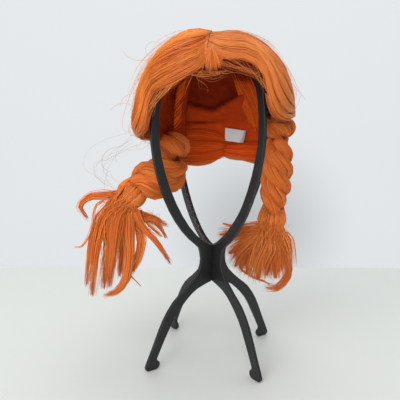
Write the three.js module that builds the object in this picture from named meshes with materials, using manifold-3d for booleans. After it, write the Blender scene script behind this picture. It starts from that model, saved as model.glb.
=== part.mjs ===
// Orange braided wig with a centre part, resting on a black four-arm folding wig stand.
// Millimetres, +Z up, the face opening looks along -Y. The stand's axis is the working centre line,
// and the finished model is moved so that the bottom centre of its box is the origin.
import * as THREE from "three";
import { mergeVertices } from "three/addons/utils/BufferGeometryUtils.js";
import Module from "manifold-3d";

const wasm = await Module();
wasm.setup();

const GAP = 0.35; // clearance between pieces that touch on the real object
const LIFT = 2.2; // the hair lies this far off the cap, whose facets are coarse
const INLAY = 1.5; // the right band and the tag lie this far inside the cap

// Stand: two flat frames that cross at right angles
const FRAME = {
  turnA: 37.15, // degrees from +X, the front left to back right frame
  turnB: -52.85, // the front right to back left frame
  thickness: 4,
  loopMiddle: 257, // height of the widest part of the loop
  slotMiddle: 109, // the two waist slots meet here
  topSlotMiddle: 347.5, // the two top slots meet here
  slotClearance: 0.3,
  waistStep: 2, // the loop takes over from the legs this far above the last leg point
};
const LOOP_OUTER = { halfWidth: 81.4, up: 95, down: 134, upPower: 2.55, downPower: 1.72 };
const LOOP_INNER = { halfWidth: 72.4, up: 86, down: 127.3, upPower: 2.55, downPower: 1.58 };
const LEG_INNER = [
  { r: 0, z: 88 }, { r: 21, z: 82 }, { r: 35.5, z: 72 }, { r: 50.5, z: 56 }, { r: 60, z: 40 },
  { r: 68, z: 25 }, { r: 74.2, z: 12.5 },
];
const LEG_OUTER = [
  { r: 86, z: 10 }, { r: 79.5, z: 24 }, { r: 72.5, z: 40 }, { r: 64.5, z: 56 }, { r: 52.5, z: 72 },
  { r: 40, z: 82 }, { r: 24.5, z: 96 }, { r: 18.2, z: 106 }, { r: 16.8, z: 117 }, { r: 19.5, z: 128.5 },
];
const FOOT = { toeRadius: 5.2, toeCentre: 76, toeFrom: 112, heelRadius: 4, heelCentre: 84.4 };
const FRAME_MESH = { loopOuter: 26, loopInner: 22, legInner: 12, legOuter: 16, toe: 6, heel: 3 };

// Wig: the cap and the hair are domes round one centre inside the head space
const CENTRE = new THREE.Vector3(0, 0, 264);
const PLAN_POWER = 2.4; // the stand's arms push the cap out at four corners, so its plan is squarish
const CAP = { side: 77.5, front: 86, back: 88.5, top: 89.3, bottom: 125, power: 2.5, wall: 1.6 };
const CAP_MESH = { columns: 36, rows: 10 };
const HAIR_DOME = {
  left: { side: 88.5, front: 93, back: 97, top: 102.3, bottom: 135, power: 2.1 },
  right: { side: 83.2, front: 93, back: 97, top: 98.5, bottom: 135, power: 2.35 },
};
const CAP_RIM = {
  left: [
    { azimuth: 0, z: 321 }, { azimuth: 40, z: 307 }, { azimuth: 62, z: 288 }, { azimuth: 84, z: 268 },
    { azimuth: 112, z: 266 }, { azimuth: 130, z: 248 }, { azimuth: 148, z: 231 }, { azimuth: 180, z: 232 },
  ],
  right: [
    { azimuth: 0, z: 321 }, { azimuth: 40, z: 317 }, { azimuth: 62, z: 300 }, { azimuth: 84, z: 284 },
    { azimuth: 112, z: 281 }, { azimuth: 130, z: 246 }, { azimuth: 148, z: 231 }, { azimuth: 180, z: 232 },
  ],
};
// Where the hair is drawn in to each plait: the bunch and its half sizes, the point that the combed hair runs
// to, and the depth of the dent there and its spread in degrees
const DENT_FLOOR = 0.2; // share of the spread that is fully drawn in
const GATHER = {
  left: {
    at: new THREE.Vector3(-48, 13, 239), size: [19, 18, 15],
    aim: new THREE.Vector3(-49, 12, 249), dent: 0.28, spread: 37,
  },
  right: {
    at: new THREE.Vector3(70, 12, 262), size: [18, 17, 13],
    aim: new THREE.Vector3(70, 12, 265), dent: 0.23, spread: 28,
  },
};
// Hair is combed along guides from the centre part to the gather. Angles run over the head from the face
// (0) through the crown (90) to the nape. The edges pass near these points on their way to the gather.
const PART_LINE = { frontX: -8, napeX: 9, frontAngle: 48, napeAngle: 205 };
const FACE_EDGE = {
  left: [
    [-13, -78, 321], [-24, -79, 313], [-34, -78, 307], [-44, -75, 302], [-54, -69, 298], [-61, -64, 291],
    [-64, -63, 282], [-65, -62, 271], [-67, -53, 261], [-68, -28, 255],
  ],
  right: [
    [0, -72, 331], [9, -74, 328], [24, -72, 328], [36, -70, 323], [43, -71, 315], [47, -73, 304],
    [50, -75, 292], [57, -71, 281], [66, -62, 276], [74, -28, 272],
  ],
};
const NAPE_EDGE = {
  left: [[-3, 82, 217], [-16, 80, 214], [-31, 78, 214], [-52, 52, 223]],
  right: [[18, 81, 222], [32, 80, 220], [57, 60, 219], [74, 36, 241]],
};
const LOCKS = {
  count: 7, groove: 2.4, least: 2.2, faceAngles: 46, napeAngles: 40, end: 0.86, around: 29, along: 10,
};
// The hair thins towards the part, its front and nape edges and its gathered end: share left, and reach
const THINNING = { part: 0.35, partReach: 0.2, edge: 0.5, edgeReach: 0.08, end: 0.45, endFrom: 0.62 };
const BUNCH_MESH = { around: 12, down: 8 };

// Plaits: centre lines, how far a strand's middle lies off them, half the width of a strand, the shares of
// both that are left at the tie, and the turns that the strands make round each other
const BRAIDS = {
  left: {
    route: [[-43, 14, 221], [-51, 11, 210], [-65, 6, 203], [-82, 1, 197], [-93, -3, 185]],
    spread: 12, strand: 10.4, endSpread: 0.5, endScale: 0.62, turns: -1.3, phase: 0.05,
  },
  right: {
    route: [[70, 13, 250], [71, 15, 230], [71, 19, 205], [70, 25, 178], [69, 30, 153]],
    spread: 9.4, strand: 8.4, endSpread: 0.6, endScale: 0.74, turns: 1.7, phase: 0.1,
  },
};
// The strands press on each other but keep a little room, and run straight at the tie
const STRAND_MESH = { sides: 6, steps: 14, straightEnd: 0.12, room: 0.9, smoothing: 0.2 };
const PLAIT_TAPER = { from: 0.58, to: 0.86, root: 0.7, rootReach: 0.25 };
const TIE = { length: 8, wall: 2.4, spare: 1.25, coils: 3, sides: 10, bulge: 70, grooveWall: 0.55 };

// Tassels: each lock leaves the head and passes along its path to its tip
const TASSEL_HEAD = { left: { radius: 11.5, seat: 0 }, right: { radius: 11.5, seat: 0 } };
const TASSEL_LOCKS = {
  left: [
    { path: [[-118, -8, 186], [-136, -9, 184], [-148, -9, 173], [-141, -9, 159]], width: 11 },
    { path: [[-122, -4, 166], [-136, -6, 133], [-144, -6, 81]], width: 15 },
    { path: [[-117, -10, 165], [-129, -12, 129], [-136, -12, 71]], width: 17 },
    { path: [[-112, -1, 164], [-118, 0, 121], [-125, -1, 76]], width: 19 },
    { path: [[-106, -11, 164], [-111, -14, 124], [-116, -14, 82]], width: 18 },
    { path: [[-100, -2, 163], [-102, -1, 128], [-106, -3, 91]], width: 20 },
    { path: [[-94, -9, 163], [-93, -10, 124], [-97, -10, 91], [-109, -10, 75], [-122, -10, 70]], width: 13 },
    { path: [[-90, -2, 164], [-80, -3, 139], [-84, -4, 113], [-93, -4, 94]], width: 14 },
    { path: [[-86, -9, 166], [-78, -10, 150], [-62, -10, 132], [-48, -10, 110]], width: 11 },
    { path: [[-84, -2, 163], [-68, -2, 159], [-53, -2, 152]], width: 13 },
  ],
  right: [
    { path: [[53, 42, 138], [30, 48, 133], [8, 50, 129]], width: 13 },
    { path: [[53, 42, 131], [34, 46, 116], [20, 47, 106]], width: 17 },
    { path: [[55, 40, 128], [38, 44, 108], [28, 46, 90]], width: 19 },
    { path: [[60, 38, 125], [48, 41, 103], [42, 40, 82]], width: 20 },
    { path: [[64, 25, 125], [56, 23, 104], [54, 24, 82]], width: 20 },
    { path: [[70, 40, 124], [67, 44, 104], [66, 42, 81]], width: 21 },
    { path: [[73, 28, 125], [75, 28, 104], [76, 30, 82]], width: 20 },
    { path: [[78, 40, 127], [82, 42, 110], [85, 40, 90]], width: 19 },
    { path: [[80, 30, 131], [86, 30, 116], [89, 32, 99]], width: 17 },
    { path: [[83, 32, 122], [91, 34, 102], [91, 32, 84], [80, 32, 69], [65, 32, 69]], width: 8 },
  ],
};
const LOCK_MESH = { sides: 6, steps: 5, headAround: 10, headDown: 6 };
// Share of the width at the root and at the tip of a lock, where it starts to taper, and its flatness
const LOCK_TAPER = { root: 1.1, tip: 0.22, from: 0.45, flatness: 0.8 };

// Inside the cap: weft bands and the tag
const BAND = { thickness: 1.5, around: 4, along: 9 };
const BAND_LEFT = { middle: -143, halfAngle: 7.5, low: 232, high: 318, offArm: 1 };
const BAND_RIGHT = { middle: 149, halfAngle: 5.2, lean: 13, low: 263, high: 315 };
const TAG = {
  middle: 162.5, halfAngle: 9, low: 239, high: 255.5, thickness: 0.8, slope: -3, around: 7, along: 5,
};
const TUFT = {
  lowLeft: -8.4, lowRight: 4, high: 331, low: 316, tip: -3.8, tipHalf: 1, thickness: 4, lowThickness: 0.5,
  around: 7, along: 6,
};

const FINISH = {
  hair: { color: 0xd56f28, roughness: 0.6 },
  thread: { color: 0xb4551c, roughness: 0.7 },
  cap: { color: 0x6e2410, roughness: 0.95 },
  band: { color: 0x8a3415, roughness: 0.9 },
  tag: { color: 0xe9e6df, roughness: 0.9 },
  plastic: { color: 0x2b2c2d, roughness: 0.45 },
};

const unit = (x, y, z) => new THREE.Vector3(x, y, z).normalize();
const mix = THREE.MathUtils.lerp;
const smooth = THREE.MathUtils.smoothstep;
const radians = THREE.MathUtils.degToRad;

// A closed BufferGeometry from loose triangles, with flat triangles dropped and the faces turned outward
function closedGeometry(triangles) {
  const loose = new THREE.BufferGeometry();
  const flat = triangles.flat().flatMap((p) => [p.x, p.y, p.z]);
  loose.setAttribute("position", new THREE.Float32BufferAttribute(flat, 3));
  const merged = mergeVertices(loose, 1e-3);
  const place = merged.getAttribute("position");
  const corner = (i) => new THREE.Vector3().fromBufferAttribute(place, i);
  const kept = [];
  let volume = 0;
  for (let i = 0; i < merged.index.count; i += 3) {
    const [a, b, c] = [0, 1, 2].map((k) => merged.index.getX(i + k));
    if (a === b || b === c || c === a) continue;
    kept.push([a, b, c]);
    volume += corner(a).dot(corner(b).cross(corner(c)));
  }
  const facing = volume < 0 ? kept.map(([a, b, c]) => [a, c, b]) : kept;
  merged.setIndex(facing.flat());
  merged.computeVertexNormals();
  return merged;
}

function quad(a, b, c, d) {
  return [[a, b, c], [a, c, d]];
}

// The solid between two matching grids of points. A round grid closes on itself along its first index
// and starts at a pole.
function shell(outer, inner, round = false) {
  const triangles = [];
  const columns = outer.length;
  const rows = outer[0].length;
  const last = round ? columns : columns - 1;
  for (let i = 0; i < last; i += 1) {
    const n = (i + 1) % columns;
    for (let j = 0; j < rows - 1; j += 1) {
      triangles.push(...quad(outer[i][j], outer[n][j], outer[n][j + 1], outer[i][j + 1]));
      triangles.push(...quad(inner[i][j], inner[i][j + 1], inner[n][j + 1], inner[n][j]));
    }
    const end = rows - 1;
    triangles.push(...quad(outer[i][end], outer[n][end], inner[n][end], inner[i][end]));
    if (!round) triangles.push(...quad(outer[i][0], inner[i][0], inner[n][0], outer[n][0]));
  }
  if (!round) {
    const far = columns - 1;
    for (let j = 0; j < rows - 1; j += 1) {
      triangles.push(...quad(outer[0][j], outer[0][j + 1], inner[0][j + 1], inner[0][j]));
      triangles.push(...quad(outer[far][j], inner[far][j], inner[far][j + 1], outer[far][j + 1]));
    }
  }
  return closedGeometry(triangles);
}

// A closed tube: ring(u) gives the centre and the two half-width vectors of its oval section
function sweep(steps, sides, ring) {
  const rings = [];
  for (let i = 0; i <= steps; i += 1) {
    const { centre, across, depth } = ring(i / steps);
    const points = [];
    for (let k = 0; k < sides; k += 1) {
      const angle = (2 * Math.PI * k) / sides;
      const point = centre.clone().addScaledVector(across, Math.cos(angle));
      points.push(point.addScaledVector(depth, Math.sin(angle)));
    }
    rings.push(points);
  }
  const triangles = [];
  for (let i = 0; i < steps; i += 1) {
    for (let k = 0; k < sides; k += 1) {
      const n = (k + 1) % sides;
      triangles.push(...quad(rings[i][k], rings[i][n], rings[i + 1][n], rings[i + 1][k]));
    }
  }
  for (let k = 1; k < sides - 1; k += 1) {
    triangles.push([rings[0][0], rings[0][k + 1], rings[0][k]]);
    triangles.push([rings[steps][0], rings[steps][k], rings[steps][k + 1]]);
  }
  return closedGeometry(triangles);
}

// The oval ring at u on a path, with its wide side in the plane that faces the front
function ringOnPath(path, u, halfWidth, halfDepth) {
  const step = 1e-3;
  const ahead = path(Math.min(u + step, 1));
  const tangent = ahead.sub(path(Math.max(u - step, 0))).normalize();
  const across = new THREE.Vector3(0, 1, 0).cross(tangent).normalize();
  const depth = tangent.clone().cross(across);
  across.multiplyScalar(halfWidth);
  depth.multiplyScalar(halfDepth);
  return { centre: path(u), tangent, across, depth };
}

// manifold-3d solids and back
function solid(geometry) {
  const bare = geometry.index ? geometry.toNonIndexed() : geometry.clone();
  bare.deleteAttribute("normal");
  bare.deleteAttribute("uv");
  const merged = mergeVertices(bare, 1e-4);
  const vertProperties = new Float32Array(merged.getAttribute("position").array);
  const triVerts = new Uint32Array(merged.index.array);
  return new wasm.Manifold(new wasm.Mesh({ numProp: 3, vertProperties, triVerts }));
}

function geometryOf(body) {
  const { vertProperties, triVerts, numProp } = body.getMesh();
  const geometry = new THREE.BufferGeometry();
  const place = [];
  for (let i = 0; i < vertProperties.length; i += numProp) {
    place.push(vertProperties[i], vertProperties[i + 1], vertProperties[i + 2]);
  }
  geometry.setAttribute("position", new THREE.Float32BufferAttribute(place, 3));
  geometry.setIndex(new THREE.BufferAttribute(new Uint32Array(triVerts), 1));
  geometry.computeVertexNormals();
  return geometry;
}

// The biggest of the bodies that a cut leaves
function largest(body) {
  const bodies = body.decompose();
  return bodies.reduce((best, next) => (next.volume() > best.volume() ? next : best));
}

const model = new THREE.Group();
const wig = new THREE.Group();
const stand = new THREE.Group();
model.add(wig, stand);

function piece(group, name, geometry, finish) {
  const material = new THREE.MeshStandardMaterial({ ...finish, metalness: 0 });
  const mesh = new THREE.Mesh(geometry, material);
  mesh.name = name;
  group.add(mesh);
  return mesh;
}

// Stand frames

// One side of a loop, from its bottom to its top, as a superellipse about the widest height
function loopSide(loop, steps, fromHeight = -Infinity) {
  const points = [];
  for (let i = 0; i <= steps; i += 1) {
    const turn = -Math.PI / 2 + (Math.PI * i) / steps;
    const up = turn > 0;
    const power = 2 / (up ? loop.upPower : loop.downPower);
    const r = loop.halfWidth * Math.pow(Math.max(Math.cos(turn), 0), power);
    const rise = Math.pow(Math.abs(Math.sin(turn)), power);
    const z = FRAME.loopMiddle + (up ? loop.up * rise : -loop.down * rise);
    if (z > fromHeight) points.push(new THREE.Vector2(i === steps ? 0 : r, z));
  }
  return points;
}

function spline(rows, steps) {
  return new THREE.SplineCurve(rows.map(({ r, z }) => new THREE.Vector2(r, z))).getPoints(steps);
}

function arc(r, z, radius, fromDegrees, toDegrees, steps) {
  const points = [];
  for (let i = 0; i <= steps; i += 1) {
    const angle = radians(mix(fromDegrees, toDegrees, i / steps));
    points.push(new THREE.Vector2(r + radius * Math.cos(angle), z + radius * Math.sin(angle)));
  }
  return points;
}

function frameShape() {
  const { toeRadius, toeCentre, toeFrom, heelRadius, heelCentre } = FOOT;
  const waistTop = LEG_OUTER.at(-1).z + FRAME.waistStep;
  const right = [
    ...spline(LEG_INNER, FRAME_MESH.legInner),
    ...arc(toeCentre, toeRadius, toeRadius, toeFrom, 270, FRAME_MESH.toe),
    ...arc(heelCentre, heelRadius, heelRadius, 270, 360, FRAME_MESH.heel),
    ...spline(LEG_OUTER, FRAME_MESH.legOuter),
    ...loopSide(LOOP_OUTER, FRAME_MESH.loopOuter, waistTop),
  ];
  const left = right.slice(1, -1).reverse().map((p) => new THREE.Vector2(-p.x, p.y));
  const shape = new THREE.Shape([...right, ...left]);
  const inner = loopSide(LOOP_INNER, FRAME_MESH.loopInner);
  const innerLeft = inner.slice(1, -1).reverse().map((p) => new THREE.Vector2(-p.x, p.y));
  shape.holes.push(new THREE.Path([...inner, ...innerLeft]));
  return shape;
}

// A slot for the other frame, as tall as the two heights
function slot(low, high) {
  const width = FRAME.thickness + 2 * FRAME.slotClearance;
  const box = new THREE.BoxGeometry(width, 3 * FRAME.thickness, high - low);
  return solid(box.translate(0, 0, (low + high) / 2));
}

function standFrame(name, turn, slots) {
  const plate = new THREE.ExtrudeGeometry(frameShape(), { depth: FRAME.thickness, bevelEnabled: false });
  plate.translate(0, 0, -FRAME.thickness / 2).rotateX(Math.PI / 2);
  const cut = slots.reduce((body, [low, high]) => body.subtract(slot(low, high)), solid(plate));
  piece(stand, name, geometryOf(cut), FINISH.plastic).rotation.z = radians(turn);
}

const loopTop = FRAME.loopMiddle + LOOP_OUTER.up;
const loopTopInside = FRAME.loopMiddle + LOOP_INNER.up;
const loopFloor = FRAME.loopMiddle - LOOP_INNER.down;
const { slotMiddle, topSlotMiddle, slotClearance } = FRAME;
const past = 3; // each slot's cutter runs this far past the edge that it opens
standFrame("stand_frame_a", FRAME.turnA, [
  [LEG_INNER[0].z - past, slotMiddle + slotClearance],
  [loopTopInside - past, topSlotMiddle + slotClearance],
]);
standFrame("stand_frame_b", FRAME.turnB, [
  [slotMiddle - slotClearance, loopFloor + past],
  [topSlotMiddle - slotClearance, loopTop + past],
]);

// Cap and hair surfaces

function dent(direction) {
  let kept = 1;
  for (const { at, dent: depth, spread } of Object.values(GATHER)) {
    const away = THREE.MathUtils.radToDeg(direction.angleTo(at.clone().sub(CENTRE)));
    kept *= 1 - depth * (1 - smooth(away, spread * DENT_FLOOR, spread));
  }
  return kept;
}

function domeRadius(direction, dome) {
  const aside = Math.pow(Math.abs(direction.x) / dome.side, PLAN_POWER);
  const fore = Math.pow(Math.abs(direction.y) / (direction.y < 0 ? dome.front : dome.back), PLAN_POWER);
  const across = Math.pow(aside + fore, 1 / PLAN_POWER);
  const up = Math.abs(direction.z) / (direction.z > 0 ? dome.top : dome.bottom);
  const size = Math.pow(Math.pow(across, dome.power) + Math.pow(up, dome.power), 1 / dome.power);
  return dent(direction) / size;
}

const atRadius = (direction, radius) => CENTRE.clone().addScaledVector(direction, radius);

// Azimuth runs from the face (0) to +X (90) and the nape (180), polar from the crown (0) downward
function direction(azimuth, polar) {
  const around = radians(azimuth);
  const flat = Math.sin(polar);
  return new THREE.Vector3(flat * Math.sin(around), -flat * Math.cos(around), Math.cos(polar));
}

// The value of a column at a position in a table, by smooth steps between its rows
function lookUp(rows, key, value, at) {
  const next = rows.findIndex((row) => row[key] >= at);
  if (next <= 0) return rows[next < 0 ? rows.length - 1 : 0][value];
  const [a, b] = [rows[next - 1], rows[next]];
  return mix(a[value], b[value], smooth(at, a[key], b[key]));
}

// The polar angle at which the cap's inner wall reaches a height
function polarAtHeight(azimuth, height) {
  let [low, high] = [0, Math.PI * 0.85];
  for (let i = 0; i < 30; i += 1) {
    const middle = (low + high) / 2;
    const way = direction(azimuth, middle);
    if (atRadius(way, domeRadius(way, CAP)).z > height) low = middle;
    else high = middle;
  }
  return low;
}

function wigCap() {
  const { columns, rows } = CAP_MESH;
  const outer = [];
  const inner = [];
  for (let i = 0; i < columns; i += 1) {
    const azimuth = -180 + (360 * i) / columns;
    const rim = lookUp(CAP_RIM[azimuth < 0 ? "left" : "right"], "azimuth", "z", Math.abs(azimuth));
    const rimPolar = polarAtHeight(azimuth, rim);
    const ways = Array.from({ length: rows }, (_, j) => direction(azimuth, (rimPolar * j) / (rows - 1)));
    inner.push(ways.map((way) => atRadius(way, domeRadius(way, CAP))));
    outer.push(ways.map((way) => atRadius(way, domeRadius(way, CAP) + CAP.wall)));
  }
  piece(wig, "wig_cap", shell(outer, inner, true), FINISH.cap);
}
wigCap();

// The direction of the hair on one side: across is 0 at the face and 1 at the nape, along is 0 at the part.
// The guides run straight over the head, drawn to the edge lines near the face and the nape.
function comb(side) {
  const { frontX, napeX, frontAngle, napeAngle } = PART_LINE;
  const end = GATHER[side].aim.clone().sub(CENTRE).normalize();
  const root = (across) => {
    const angle = radians(mix(frontAngle, napeAngle, across));
    return unit(mix(frontX, napeX, across) / CAP.top, -Math.cos(angle), Math.sin(angle));
  };
  const straight = (across, along) => root(across).lerp(end, along).normalize();
  const drawn = (edge, across) => {
    const passed = edge.map((point) => new THREE.Vector3(...point).sub(CENTRE).normalize());
    const line = new THREE.CatmullRomCurve3([root(across), ...passed, end]);
    return (along) => line.getPointAt(along).sub(straight(across, along));
  };
  const face = drawn(FACE_EDGE[side], 0);
  const nape = drawn(NAPE_EDGE[side], 1);
  const span = napeAngle - frontAngle;
  return (across, along) => {
    const way = straight(across, along);
    way.addScaledVector(face(along), 1 - smooth(across * span, 0, LOCKS.faceAngles));
    way.addScaledVector(nape(along), 1 - smooth((1 - across) * span, 0, LOCKS.napeAngles));
    return way.normalize();
  };
}

function hairSide(side, strands) {
  const sign = side === "left" ? -1 : 1;
  const combed = comb(side);
  const outer = [];
  const inner = [];
  for (let i = 0; i < LOCKS.around; i += 1) {
    const across = i / (LOCKS.around - 1);
    const outerRow = [];
    const innerRow = [];
    for (let j = 0; j < LOCKS.along; j += 1) {
      const along = (LOCKS.end * j) / (LOCKS.along - 1);
      const way = combed(across, along);
      const bottom = domeRadius(way, CAP) + CAP.wall + LIFT;
      const lock = Math.abs(Math.sin(Math.PI * LOCKS.count * across));
      const body = domeRadius(way, HAIR_DOME[side]) - LOCKS.groove * (1 - lock);
      const nearPart = mix(THINNING.part, 1, smooth(along, 0, THINNING.partReach));
      const edge = Math.min(across, 1 - across);
      const nearEdge = mix(THINNING.edge, 1, smooth(edge, 0, THINNING.edgeReach));
      const nearEnd = mix(1, THINNING.end, smooth(along, THINNING.endFrom, LOCKS.end));
      const thickness = Math.max((body - bottom) * nearPart * nearEdge * nearEnd, LOCKS.least);
      const shift = sign * GAP;
      outerRow.push(atRadius(way, bottom + thickness).add(new THREE.Vector3(shift, 0, 0)));
      innerRow.push(atRadius(way, bottom).add(new THREE.Vector3(shift, 0, 0)));
    }
    outer.push(outerRow);
    inner.push(innerRow);
  }
  const { at, size } = GATHER[side];
  const ball = new THREE.SphereGeometry(1, BUNCH_MESH.around, BUNCH_MESH.down);
  const bunch = ball.scale(...size).translate(at.x, at.y, at.z);
  const whole = solid(shell(outer, inner)).add(solid(bunch));
  const body = strands.reduce((left, strand) => left.subtract(strand), whole);
  piece(wig, `hair_${side}`, geometryOf(largest(body).simplify(GAP / 4)), FINISH.hair);
}

// Pieces that lie inside or on the cap, as a patch of its surface

function patch(name, columns, rows, place, finish) {
  const grid = (level) => Array.from({ length: columns }, (_, i) =>
    Array.from({ length: rows }, (__, j) => place(i / (columns - 1), j / (rows - 1), level)));
  piece(wig, name, shell(grid(1), grid(0)), finish);
}

function capPoint(azimuth, height, offset) {
  const way = direction(azimuth, polarAtHeight(azimuth, height));
  return atRadius(way, domeRadius(way, CAP) + offset);
}

// The left weft band stretches over the back left arm of the stand
function loopInsideRadius(height) {
  const up = height > FRAME.loopMiddle;
  const power = up ? LOOP_INNER.upPower : LOOP_INNER.downPower;
  const rise = Math.abs(height - FRAME.loopMiddle) / (up ? LOOP_INNER.up : LOOP_INNER.down);
  return LOOP_INNER.halfWidth * Math.pow(1 - Math.pow(rise, power), 1 / power);
}

patch("weft_band_left", BAND.around, BAND.along, (u, v, level) => {
  const { middle, halfAngle, low, high, offArm } = BAND_LEFT;
  const azimuth = radians(middle + mix(-halfAngle, halfAngle, u));
  const height = mix(low, high, v);
  const radius = loopInsideRadius(height) - offArm - BAND.thickness * (1 - level);
  return new THREE.Vector3(radius * Math.sin(azimuth), -radius * Math.cos(azimuth), height);
}, FINISH.band);

patch("weft_band_right", BAND.around, BAND.along, (u, v, level) => {
  const { middle, halfAngle, lean, low, high } = BAND_RIGHT;
  const offset = -INLAY - BAND.thickness * (1 - level);
  const azimuth = middle + lean * (v - 0.5) + mix(-halfAngle, halfAngle, u);
  return capPoint(azimuth, mix(low, high, v), offset);
}, FINISH.band);

patch("label_tag", TAG.around, TAG.along, (u, v, level) => {
  const { middle, halfAngle, low, high, thickness, slope } = TAG;
  const height = mix(low, high, v) + slope * (u - 0.5);
  const offset = -INLAY - thickness * (1 - level);
  return capPoint(middle + mix(halfAngle, -halfAngle, u), height, offset);
}, FINISH.tag);

patch("front_tuft", TUFT.around, TUFT.along, (u, v, level) => {
  const { lowLeft, lowRight, low, high, tip, tipHalf, thickness, lowThickness } = TUFT;
  const azimuth = mix(mix(lowLeft, lowRight, u), tip + mix(-tipHalf, tipHalf, u), v);
  const offset = CAP.wall + GAP + thickness * level * mix(lowThickness, 1, v);
  return capPoint(azimuth, mix(low, high, v), offset);
}, FINISH.hair);

// Plaits, ties and tassels

function braidAndTassel(side) {
  const { route, spread, strand, endSpread, endScale, turns, phase } = BRAIDS[side];
  const { straightEnd } = STRAND_MESH;
  const line = new THREE.CatmullRomCurve3(route.map((p) => new THREE.Vector3(...p)));
  const { from, to, root, rootReach } = PLAIT_TAPER;
  const taper = (u, end) => mix(1, end, smooth(u, from, to)) * mix(root, 1, smooth(u, 0, rootReach));
  const earlier = [];
  for (let k = 0; k < 3; k += 1) {
    const path = (u) => {
      const late = Math.max(0, (u - 1 + straightEnd) / straightEnd);
      const angle = 2 * Math.PI * (phase + turns * (u - (straightEnd * late ** 2) / 2) + k / 3);
      const { centre, across, depth } = ringOnPath((w) => line.getPointAt(w), u, 1, 1);
      const off = spread * taper(u, endSpread);
      centre.addScaledVector(across, off * Math.sin(angle));
      return centre.addScaledVector(depth, off * Math.cos(angle));
    };
    const tube = (spare) => {
      const half = (u) => strand * taper(u, endScale) + spare;
      const ring = (u) => {
        const made = ringOnPath(path, u, half(u), half(u));
        made.centre.addScaledVector(made.tangent, spare * Math.trunc(mix(-1, 1, u)));
        return made;
      };
      return solid(sweep(STRAND_MESH.steps, STRAND_MESH.sides, ring));
    };
    const pressed = earlier.reduce((body, other) => body.subtract(other), tube(0));
    earlier.push(tube(STRAND_MESH.room));
    const kept = largest(pressed).simplify(STRAND_MESH.smoothing);
    piece(wig, `braid_${side}_strand_${k + 1}`, geometryOf(kept), FINISH.hair);
  }
  const end = line.getPointAt(1);
  const heading = line.getTangentAt(1);
  const aim = new THREE.Quaternion().setFromUnitVectors(new THREE.Vector3(0, 1, 0), heading);

  const bore = spread * endSpread + strand * endScale + TIE.spare;
  const pitch = TIE.length / TIE.coils;
  const profile = [new THREE.Vector2(bore, 0)];
  for (let coil = 0; coil < TIE.coils; coil += 1) {
    const bulge = arc(0, 0, 1, -TIE.bulge, TIE.bulge, 2);
    profile.push(...bulge.map(({ x, y }) =>
      new THREE.Vector2(bore + TIE.wall * mix(TIE.grooveWall, 1, x), (coil + 0.5 + y / 2) * pitch)));
  }
  profile.push(new THREE.Vector2(bore, TIE.length), new THREE.Vector2(bore, 0));
  const tie = new THREE.LatheGeometry(profile, TIE.sides);
  tie.translate(0, -TIE.length, 0).applyQuaternion(aim).translate(end.x, end.y, end.z);
  piece(wig, `tie_${side}`, tie, FINISH.thread);

  const { radius, seat } = TASSEL_HEAD[side];
  const heart = end.clone().addScaledVector(heading, radius + seat);
  const ball = new THREE.SphereGeometry(radius, LOCK_MESH.headAround, LOCK_MESH.headDown);
  const head = ball.translate(heart.x, heart.y, heart.z);
  const body = TASSEL_LOCKS[side].reduce((whole, { path, width }) => {
    const curve = new THREE.CatmullRomCurve3([heart, ...path.map((p) => new THREE.Vector3(...p))]);
    const thin = (u) => mix(LOCK_TAPER.root, LOCK_TAPER.tip, smooth(u, LOCK_TAPER.from, 1));
    const half = (u) => (width / 2) * thin(u);
    const at = (u) => curve.getPointAt(u);
    const ring = (u) => ringOnPath(at, u, half(u), half(u) * LOCK_TAPER.flatness);
    return whole.add(solid(sweep(LOCK_MESH.steps, LOCK_MESH.sides, ring)));
  }, solid(head));
  piece(wig, `tassel_${side}`, geometryOf(body.simplify(GAP / 2)), FINISH.hair);
  return earlier;
}
hairSide("left", braidAndTassel("left"));
hairSide("right", braidAndTassel("right"));

// The origin is the bottom centre of the whole model's box
const bounds = new THREE.Box3().setFromObject(model);
const middle = bounds.getCenter(new THREE.Vector3());
model.position.set(-middle.x, -middle.y, -bounds.min.z);
const part = new THREE.Group();
part.add(model);

export default part;
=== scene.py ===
# A wig with a centre part and two plaits, resting on a black stand of two crossed frames.
# Sizes are millimetres from the stand's axis on the floor, as in the part's source, until to_row() makes
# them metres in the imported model's frame. The face opening looks along -Y.
import math

import bmesh
import bpy
import numpy as np
from mathutils import Matrix, Vector


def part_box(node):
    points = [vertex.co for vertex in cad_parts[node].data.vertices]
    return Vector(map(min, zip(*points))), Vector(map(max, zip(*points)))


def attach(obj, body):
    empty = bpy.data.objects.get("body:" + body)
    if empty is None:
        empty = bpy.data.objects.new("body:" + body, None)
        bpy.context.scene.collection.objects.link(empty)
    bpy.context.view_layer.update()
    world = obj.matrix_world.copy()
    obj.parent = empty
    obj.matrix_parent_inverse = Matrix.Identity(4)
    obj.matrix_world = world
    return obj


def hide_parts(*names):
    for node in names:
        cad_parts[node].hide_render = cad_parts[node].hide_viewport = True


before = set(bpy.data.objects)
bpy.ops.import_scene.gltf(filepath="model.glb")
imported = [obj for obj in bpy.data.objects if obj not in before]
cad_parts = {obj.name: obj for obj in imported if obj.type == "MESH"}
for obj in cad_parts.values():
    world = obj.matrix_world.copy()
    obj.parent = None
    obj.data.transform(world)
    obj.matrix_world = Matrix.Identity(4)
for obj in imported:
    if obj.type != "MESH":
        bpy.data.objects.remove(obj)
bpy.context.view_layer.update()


class Row(dict):
    """Named values, read as attributes."""
    __getattr__ = dict.__getitem__


MM = 0.001
FRAME_LOW, FRAME_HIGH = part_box("stand_frame_a")
AXIS = np.array(((FRAME_LOW.x + FRAME_HIGH.x) / 2, (FRAME_LOW.y + FRAME_HIGH.y) / 2, 0.0))
SIDES = ("left", "right")
SIGN = {"left": -1, "right": 1}
SEEDS = Row(band_left=12, band_right=13, tuft=14, hair=20, strands=30, ties=40, tassels=50)

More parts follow.
